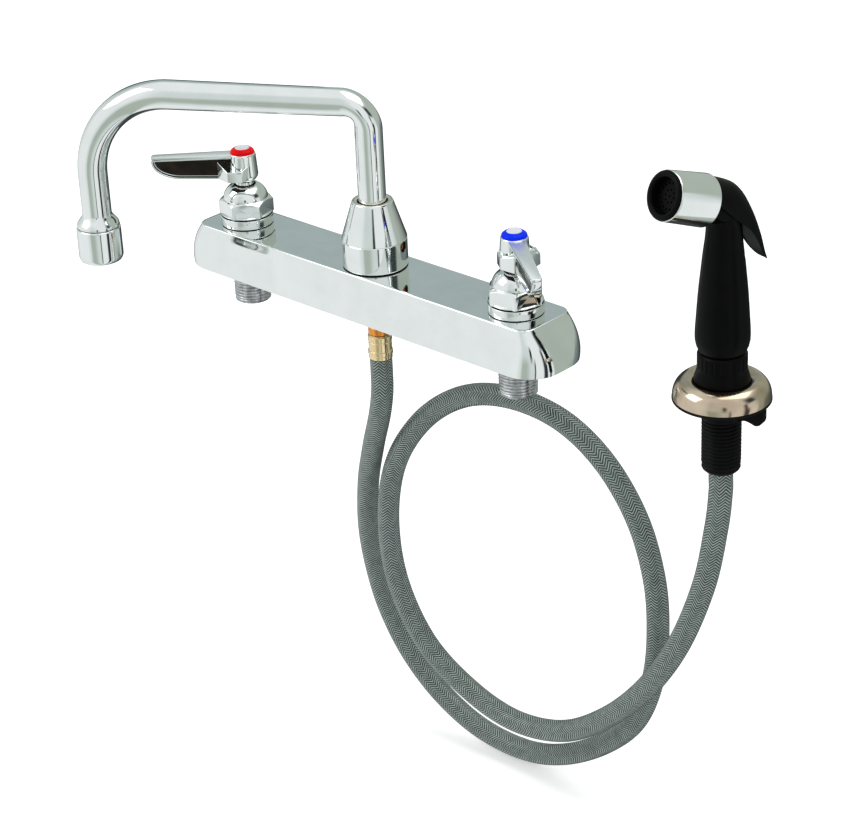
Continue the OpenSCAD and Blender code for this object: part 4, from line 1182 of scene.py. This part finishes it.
@dataclass
class SpoutMount:
    """The round base, the conical nut and the set screw at the middle of the body."""

    base_radius: float = 18.0
    low: float = 25.4
    base_top: float = 41.5
    nut_top: float = 63.3
    nut_top_radius: float = 11.4
    hole_radius: float = 10.4
    screw_z: float = 38.3
    screw_angle: float = 15

    def at_screw(self, out: float) -> Matrix:
        """The set screw's frame: Z outward, its origin that far out from the base's side."""
        return about(self.screw_angle) @ moved(self.base_radius + out, 0, self.screw_z) @ about(90, "Y")

    def build(self) -> None:
        """Makes the base, the nut, its lip and the screw's hole."""
        r, low, seat = self.base_radius, self.low, self.base_top
        base = turned("nozzle_base", [
            (12, low + 0.6), (r - 0.2, low + 0.6, 0.3), (r, low + 1.1, 0.3), (r, seat - 0.3),
            (r - 0.25, seat), (12, seat),
        ], 128)
        bpy.ops.mesh.primitive_cylinder_add(vertices=40, radius=3.1 * MM, depth=12 * MM)
        drill = bpy.context.object
        settle(drill, self.at_screw(1.5))
        combined(base, drill, "DIFFERENCE")
        fit(rounded(base, 0.12, 2, 30), "faucet", CHROME, "spout_base")
        seam = turned("base_seam", [(12, low), (r - 0.15, low), (r - 0.15, low + 0.65), (12, low + 0.65)])
        fit(seam, "faucet", SEAL_RUBBER)
        nut = turned("nozzle_nut", [
            (12, seat + 0.04), (r - 0.25, seat + 0.04), (r, seat + 0.35),
            (self.nut_top_radius, self.nut_top - 0.7, 0.7),
            (self.nut_top_radius - 0.45, self.nut_top, 0.2), (self.hole_radius + 0.1, self.nut_top, 0.1),
            (self.hole_radius, self.nut_top - 5), (12, self.nut_top - 12),
        ], 128)
        fit(nut, "faucet", CHROME, "spout_nut")
        lip = turned("nut_bushing", [
            (8.45, self.nut_top - 4), (self.hole_radius - 0.05, self.nut_top - 4),
            (self.hole_radius - 0.05, self.nut_top - 0.2, 0.2), (8.5, self.nut_top - 0.35, 0.3),
        ])
        fit(lip, "faucet", BUSHING_METAL)
        screw = turned("grub_screw", [
            (0, -4), (2.35, -4), (2.35, 0, 0.3), (1.3, 0, 0.1), (1.15, -1.3), (0, -1.4),
        ], 48, closed=False)
        fit(settle(screw, self.at_screw(-1.3)), "faucet", COPPER, "spout_set_screw")
        ring = turned("grub_screw_seat", [(2.4, -2.5), (3.05, -2.5), (3.05, 0.9, 0.2), (2.45, 0.9, 0.2)], 48)
        fit(settle(ring, self.at_screw(-1.3)), "faucet", SEAL_RUBBER)


@dataclass
class Nozzle:
    """The bent tube with its flare and the aerator at its outlet."""

    riser_radius: float = 7.65
    outlet_radius: float = 8.2
    angle: float = 209
    foot: float = 30.0
    arm: float = 118.2
    reach: float = 160.0
    riser_bend: float = 13.6
    flattening: float = 0.14
    widening: float = 0.05
    outlet_bend: float = 48.0
    flare_top: float = 46.9
    aerator_top: float = 38.9
    outlet: float = 19.2
    aerator_radius: float = 12.4

    def place(self) -> Matrix:
        """The nozzle's plane: X along the arm."""
        return about(self.angle)

    def stations(self) -> list[tuple[float, float, float, float, float]]:
        """Gives (reach, height, slope, in-plane radius, sideways radius) along the tube."""
        r, wide_r, out = self.riser_radius, self.outlet_radius, []
        corner = self.arm - self.riser_bend
        out += [(0, self.foot + (corner - self.foot) * k / 3, 90, r, r) for k in range(3)]
        for k in range(21):
            t = k / 20
            a = math.radians(180 - 90 * t)
            squash = math.sin(math.pi * t) ** 1.3
            out.append((
                self.riser_bend + self.riser_bend * math.cos(a), corner + self.riser_bend * math.sin(a),
                90 - 90 * t, r * (1 - self.flattening * squash), r * (1 + self.widening * squash),
            ))
        start, end = self.riser_bend, self.reach - self.outlet_bend
        for k in range(9):
            mid = r + (wide_r - r) * k / 8
            if k:
                out.append((start + (end - start) * k / 8.5, self.arm, 0, mid, mid))
        r = wide_r
        drop = self.arm - self.outlet_bend
        for k in range(33):
            t = k / 32
            a = math.radians(90 - 90 * t)
            out.append((
                end + self.outlet_bend * math.cos(a), drop + self.outlet_bend * math.sin(a), -90 * t, r, r,
            ))
        out.append((self.reach, (drop + self.flare_top) / 2, -90, r, r))
        last, top = self.aerator_radius - 0.45, self.aerator_top
        for k in range(13):
            t = k / 12
            wide = r + (last - r) * (3 * t * t - 2 * t ** 3)
            out.append((self.reach, self.flare_top + (top + 1.0 - self.flare_top) * t, -90, wide, wide))
        lip = ((0.7, 0.05), (0.5, -0.2), (0.5, -1.1), (0.02, -1.1), (0.02, -2))
        out += [(self.reach, top + rise, -90, last + grow, last + grow) for rise, grow in lip]
        return out

    def tube(self) -> None:
        """Makes the tube from its foot to the flare."""
        rings, sides = [], 72
        for x, z, slope, inward, sideways in self.stations():
            a = math.radians(slope)
            up = Vector((-math.sin(a), 0, math.cos(a)))
            rings.append([
                Vector((x, 0, z)) + inward * math.cos(t) * up + Vector((0, sideways * math.sin(t), 0))
                for t in (math.tau * k / sides for k in range(sides))
            ])
        tube = shell("nozzle_tube", rings)
        fit(settle(tube, self.place()), "nozzle", CHROME, "spout_tube")

    def aerator(self) -> None:
        """Makes the aerator's housing."""
        r, low, high = self.aerator_radius, self.outlet, self.aerator_top
        housing = turned("aerator_shell", [
            (9, high - 0.1), (r - 0.5, high - 0.1, 0.2), (r, high - 0.6, 0.4), (r + 0.1, low + 1.8, 1.2),
            (r - 1.0, low, 0.5), (8.9, low, 0.3), (8.9, low + 2.6), (10.4, low + 3), (10.4, high - 3),
        ], 128)
        fit(settle(housing, self.place() @ moved(self.reach)), "nozzle", CHROME, "aerator_housing")

    def build(self) -> None:
        """Makes the nozzle."""
        self.tube()
        self.aerator()


@dataclass
class HoseFittings:
    """The copper-coloured adapter and the crimped ferrule under the body."""

    adapter_radius: float = 6.3
    below: float = 16.0
    ferrule_radius: float = 6.6
    ferrule_low: float = -31.0

    def build(self) -> None:
        """Makes both fittings."""
        r, low = self.adapter_radius, -self.below
        adapter = turned("outlet_adapter", [
            (0, 2), (7.6, 2), (7.6, 0.2, 0.4), (r - 0.5, -0.6, 0.4), (r - 0.5, -3), (r, -3.6, 0.4),
            (r, -9, 0.4), (r - 0.6, -9.8, 0.3), (r - 0.6, -10.8, 0.3), (r, -11.6, 0.3),
            (r, low + 0.6, 0.4), (r - 0.6, low), (0, low),
        ], closed=False)
        fit(adapter, "faucet", COPPER, "spray_outlet_adapter")
        ring = turned("adapter_seal", [
            (5, -10.9), (r + 0.2, -10.9, 0.3), (r + 0.2, -9.7, 0.3), (5, -9.7),
        ])
        fit(ring, "faucet", SEAL_RUBBER)
        f, bottom, top = self.ferrule_radius, self.ferrule_low, low - 0.3
        points: list[tuple[float, ...]] = [(3.2, top), (f - 0.9, top), (f - 0.2, top - 0.6, 0.3)]
        z = top - 0.6
        for height, width in ((3.0, 0.15), (0.7, -0.3), (5.2, -0.1), (2.4, 0.35), (2.4, 0.0)):
            points += [(f + width, z - 0.15, 0.25), (f + width, z - height, 0.25)]
            z -= height
        points += [(f - 0.1, bottom + 0.3, 0.2), (f - 0.6, bottom), (3.2, bottom)]
        ferrule = turned("crimped_ferrule", points)
        fit(ferrule, "faucet", PALE_BRASS, "hose_ferrule")


# ---------------------------------------------------------------- spray holder


@dataclass
class SprayHolder:
    """The holder in its own deck hole: escutcheon, gasket, threaded shank and wing nut."""

    x: float = 217
    y: float = 24
    shank_radius: float = 10.25
    bore: float = 7.2
    below: float = 40.5
    rim_radius: float = 25.2
    lip_radius: float = 13.9
    crest: float = 11.7
    sheet: float = 0.9
    wing_reach: float = 24.3
    wing_angle: float = 8
    thread_start: float = 75.5

    def place(self, degrees: float = 0.0) -> Matrix:
        """The holder's axis, turned about it by degrees."""
        return moved(self.x, self.y) @ about(degrees)

    def escutcheon(self) -> None:
        """Makes the domed cover as a sheet with a rolled rim and lip."""
        lip, rim, crest = self.lip_radius, self.rim_radius, self.crest
        crest_r = (rim + lip) / 2 - 2
        outer: Profile = [(lip, crest - 4.6), (lip, crest - 2.4), (lip + 0.5, crest - 1.2),
                          ((lip + crest_r) / 2, crest - 0.5)]
        for k in range(17):
            a = math.radians(90 - 90 * k / 16)
            outer.append((crest_r + (rim - crest_r) * math.cos(a) ** 0.92, 2.3 + (crest - 2.3) * math.sin(a)))
        outer.append((rim, 1.75))
        t = self.sheet
        inner = [(r - t if r > crest_r else r + t, z - t if z > 3 else z) for r, z in reversed(outer)]
        cover = turned("nickel_escutcheon", outer + inner, 128)
        fit(settle(cover, self.place()), "faucet", NICKEL, "holder_escutcheon")
        gasket = turned("cover_gasket", [
            (10.4, 0.1), (rim + 0.2, 0.1, 0.5), (rim + 0.2, 1.6, 0.4), (10.4, 1.6),
        ])
        fit(settle(gasket, self.place()), "faucet", SEAL_RUBBER, "escutcheon_gasket")

    def shank(self) -> None:
        """Makes the flange, the hub and the threaded shank."""
        shank = threaded("holder_shank", self.shank_radius, self.bore, -self.below, 1.8, 2.1, 0.8, 3.4, 80)
        hub = turned("hub", [
            (self.bore, 1.6), (21, 1.6, 0.3), (21, 4, 0.4), (13.3, 4, 0.5), (13.3, 8, 0.5), (self.bore, 8),
        ])
        joined("holder_shank", shank, hub)
        fit(settle(shank, self.place(self.thread_start)), "faucet", THREAD_PLASTIC, "spray_holder")

    def wing_nut(self) -> None:
        """Makes the two-lobed nut."""
        high, low, reach, curl = -0.1, -10.0, self.wing_reach, 4.5
        inner = self.shank_radius + 0.1
        hub = turned("wing_hub", [
            (inner, low), (10.8, low, 0.4), (12.6, high - 0.4, 0.5), (inner, high),
        ])
        outline = []
        for k in range(13):
            a = math.pi / 2 * k / 12
            outline.append((reach - curl + curl * math.sin(a), low + curl - curl * math.cos(a)))
        wing = [(10.6, high), (10.6, low), (12.2, low + 1.0), (14.4, low + 1.5), (16.8, low + 1.1), *outline,
                (reach, high - 1.0), (reach - 1.0, high)]
        lobes = [rounded(settle(upright("lobe", wing, 2.5), about(way)), 1.1, 4, 40) for way in (0, 180)]
        joined("wing_nut", hub, *lobes)
        fit(settle(hub, self.place(self.wing_angle)), "faucet", BLACK_PLASTIC, "holder_wing_nut")

    def build(self) -> None:
        """Makes the holder."""
        self.escutcheon()
        self.shank()
        self.wing_nut()


# ---------------------------------------------------------------- spray handset


@dataclass
class Handset:
    """The trigger spray: ribbed collar, grip, chrome sleeve, face and trigger."""

    x: float = 217
    y: float = 24
    facing: float = 75.5
    tilt: float = 19.3
    head_z: float = 106
    sleeve: tuple[float, float] = (13.7, 38.5)
    sleeve_radii: tuple[float, float] = (13.3, 12.6)
    neck_half: float = 9.2
    ribs: int = 24
    rib_depth: float = 0.4

    def place(self) -> Matrix:
        """The handset's frame: X toward its back."""
        return moved(self.x, self.y) @ about(self.facing)

    def head_tilt(self) -> Matrix:
        """The head's frame within the handset's."""
        return moved(0, 0, self.head_z) @ about(self.tilt - 90, "Y")

    def at_head(self) -> Matrix:
        """The head's frame: Z toward the nozzle face."""
        return self.place() @ self.head_tilt()

    def collar(self) -> None:
        """Makes the collar with its ribs."""
        def fluted(r: float, z: float, angle: float) -> float:
            """Cuts shallow flutes in the upper collar."""
            if r < 12.2 or not 18.6 < z < 25.3:
                return r
            return r - self.rib_depth * max(0.0, math.cos(self.ribs * angle)) ** 0.6
        profile = [
            (9.0, 8.3), (12.9, 8.3, 0.5), (14.4, 11.0, 0.8), (14.4, 12.2, 0.8), (12.8, 17.0, 1.5),
            (12.8, 18.5), (12.8, 18.7), (12.8, 25.2), (12.8, 25.5, 0.3), (11.7, 26.7, 0.4), (9.0, 26.7),
        ]
        collar = turned("ribbed_collar", profile, 192, shape=fluted)
        fit(settle(collar, self.place()), "spray_base", BLACK_PLASTIC, "spray_collar")

    def grip(self) -> None:
        """Makes the grip and neck as one turned form, flattened behind the neck for the trigger."""
        grip = turned("grip", [
            (0, 27.2), (11.2, 27.2), (12.3, 27.9), (13.3, 30.3), (13.9, 33.2), (14.0, 36.0), (13.85, 40),
            (13.5, 45), (13.1, 51), (12.6, 58), (12.05, 64), (11.5, 69), (10.9, 75), (10.25, 81),
            (9.5, 86.5), (9.05, 91.5), (8.9, 95), (8.9, 101), (0, 101),
        ], 128, closed=False)
        sweep = upright("sweep", [
            (11.6, 69.5), (7.1, 78.5), (7.1, 93), (1.2, 105.5), (1.2, 108), (3, 130), (30, 130), (30, 69.5),
        ], 20)
        combined(grip, sweep, "DIFFERENCE")
        core = turned("core", [(0, -6), (10.9, -6), (10.9, 31), (0, 31)], closed=False)
        settle(core, self.head_tilt())
        cheeks = upright("cheeks", [
            (-9, 91), (7.4, 91), (7.4, 93.5), (1.2, 105.5), (-5.5, 107.5), (-15, 107.5), (-15, 116.5),
            (-45, 128), (-45, 108), (-21, 98.5), (-12.6, 95.5), (-10, 93.4),
        ], self.neck_half)
        combined(core, cheeks, "INTERSECT")
        combined(grip, core, "UNION")
        half = self.neck_half
        ends = [(0, -half), (7, -half, 0.5), (7, half, 0.5), (0, half)]
        knuckle = turned("knuckle", ends, 64, closed=False)
        settle(knuckle, moved(-5.5, 0, 107.5) @ about(90, "X"))
        combined(grip, knuckle, "UNION")
        named(grip, "spray_grip")
        fit(settle(rounded(grip, 0.3, 2, 35), self.place()), "handset", BLACK_PLASTIC, "spray_handle")

    def sleeve_and_face(self) -> None:
        """Makes the chrome sleeve and the black rim."""
        (back, front), (r0, r1) = self.sleeve, self.sleeve_radii
        sleeve = turned("chrome_sleeve", [
            (10.95, back), (r0 - 0.3, back, 0.2), (r0, back + 0.35, 0.3), (r1, front - 0.4, 0.3),
            (r1 - 0.3, front, 0.2), (10.95, front),
        ], 128)
        fit(settle(sleeve, self.at_head()), "handset", CHROME, "spray_sleeve")
        rim = turned("face_rim", [
            (8.6, front - 5), (10.9, front - 5), (10.9, front + 0.05), (r1 - 0.25, front + 0.05, 0.3),
            (r1 - 0.35, front + 1.0, 1.1), (r1 - 2.2, front + 1.9, 1.0), (9.0, front + 1.2, 0.9),
            (8.6, front - 1),
        ], 128)
        fit(settle(rim, self.at_head()), "handset", BLACK_PLASTIC, "spray_face")

    def trigger(self) -> None:
        """Lofts the trigger from the head over the back to its thumb tip."""
        stations = [
            # crown s, z; lower edge s, z; half width, inner half width, inner height
            (-8.4, 121.7, -12.6, 111.0, 11.6, 9.0, 0.4),
            (-8.0, 121.75, -12.3, 110.9, 11.75, 9.5, 0.6),
            (-2.2, 119.5, -5.5, 104.6, 11.75, 9.6, 9.6),
            (4.3, 116.0, -1.5, 101.0, 11.7, 9.6, 8.0),
            (8.8, 111.2, 1.8, 98.2, 11.3, 9.55, 6.8),
            (12.4, 105.2, 5.6, 95.2, 10.6, 9.4, 6.0),
            (16.3, 97.0, 10.6, 90.6, 9.4, 8.3, 3.2),
            (20.5, 86.5, 15.5, 84.0, 7.6, 6.3, 0.8),
            (24.0, 76.0, 19.6, 77.0, 5.6, 4.6, 0.5),
            (25.6, 72.2, 23.3, 72.4, 4.0, 3.0, 0.3),
            (26.3, 70.6, 25.6, 70.5, 2.6, 1.8, 0.15),
        ]
        dense = []
        for i in range(len(stations) - 1):
            a, b = stations[max(i - 1, 0)], stations[i]
            c, d = stations[i + 1], stations[min(i + 2, len(stations) - 1)]
            steps = 1 if i == 0 else 6
            for k in range(steps):
                t = k / steps
                dense.append([flowing(*four, t) for four in zip(a, b, c, d)])
        dense.append(list(stations[-1]))
        rings = []
        for s, z, low_s, low_z, width, inner, hollow in dense:
            crown, foot = Vector((s, 0, z)), Vector((low_s, 0, low_z))
            rise = crown - foot
            height = rise.length
            rise.normalize()
            ring = []
            for k in range(33):
                a = math.pi * k / 32
                up = math.copysign(abs(math.sin(a)) ** 0.9, math.sin(a))
                ring.append(foot + Vector((0, width * math.cos(a), 0)) + rise * height * up)
            for k in range(33):
                a = math.pi * (1 - k / 32)
                across = math.copysign(abs(math.cos(a)) ** 0.6, math.cos(a))
                roof = rise * max(hollow, 0.1) * math.sin(a) ** 0.6
                ring.append(foot + Vector((0, inner * across, 0)) + roof)
            rings.append(ring)
        first = sum(rings[0], Vector()) / len(rings[0])
        last = sum(rings[-1], Vector()) / len(rings[-1])
        trigger = shell("thumb_trigger", [[first] * 66, *rings, [last] * 66])
        fit(settle(smooth(trigger, 50), self.place()), "trigger", BLACK_PLASTIC, "spray_trigger")

    def build(self) -> None:
        """Makes the handset."""
        self.collar()
        self.grip()
        self.sleeve_and_face()
        self.trigger()


def dress_inner_nodes(frame: dict) -> None:
    """Gives the solids that stay their own finishes."""
    for side in Side:
        label = side.label
        dress(frame, CERAMIC, f"{label}_fixed_disc", f"{label}_moving_disc")
        dress(frame, SEAL_RUBBER, f"{label}_packing")
        dress(frame, DARK_STEEL, f"{label}_handle_screw")
    dress(frame, BRASS, "swivel_sleeve", "diverter_piston", "diverter_seat", "hose_barb", "hose_coupling",
          "spray_valve_stem")
    dress(frame, SEAL_RUBBER, "swivel_o_rings", "aerator_washer", "coupling_washer", "spray_valve_seal")
    dress(frame, WHITE_PLASTIC, "swivel_thrust_washer", "aerator_insert")
    dress(frame, DARK_STEEL, "trigger_pin", "spray_valve_spring")
    dress(frame, BLACK_PLASTIC, "spray_screen")
    dress(frame, BraidedVinyl("TailVinyl", 46.0), "hose_tail")


def main() -> None:
    """Builds the studio and every sub-assembly."""
    logging.basicConfig(level=logging.INFO, format="%(name)s: %(message)s")
    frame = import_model()
    Studio().build()
    BraidedHose().build()
    BodyBar().build()
    InletShanks().build()
    for side in Side:
        Valve(side).build()
        Lever(side).build()
    SpoutMount().build()
    Nozzle().build()
    HoseFittings().build()
    SprayHolder().build()
    Handset().build()
    dress_inner_nodes(frame)


if __name__ == "__main__":
    main()
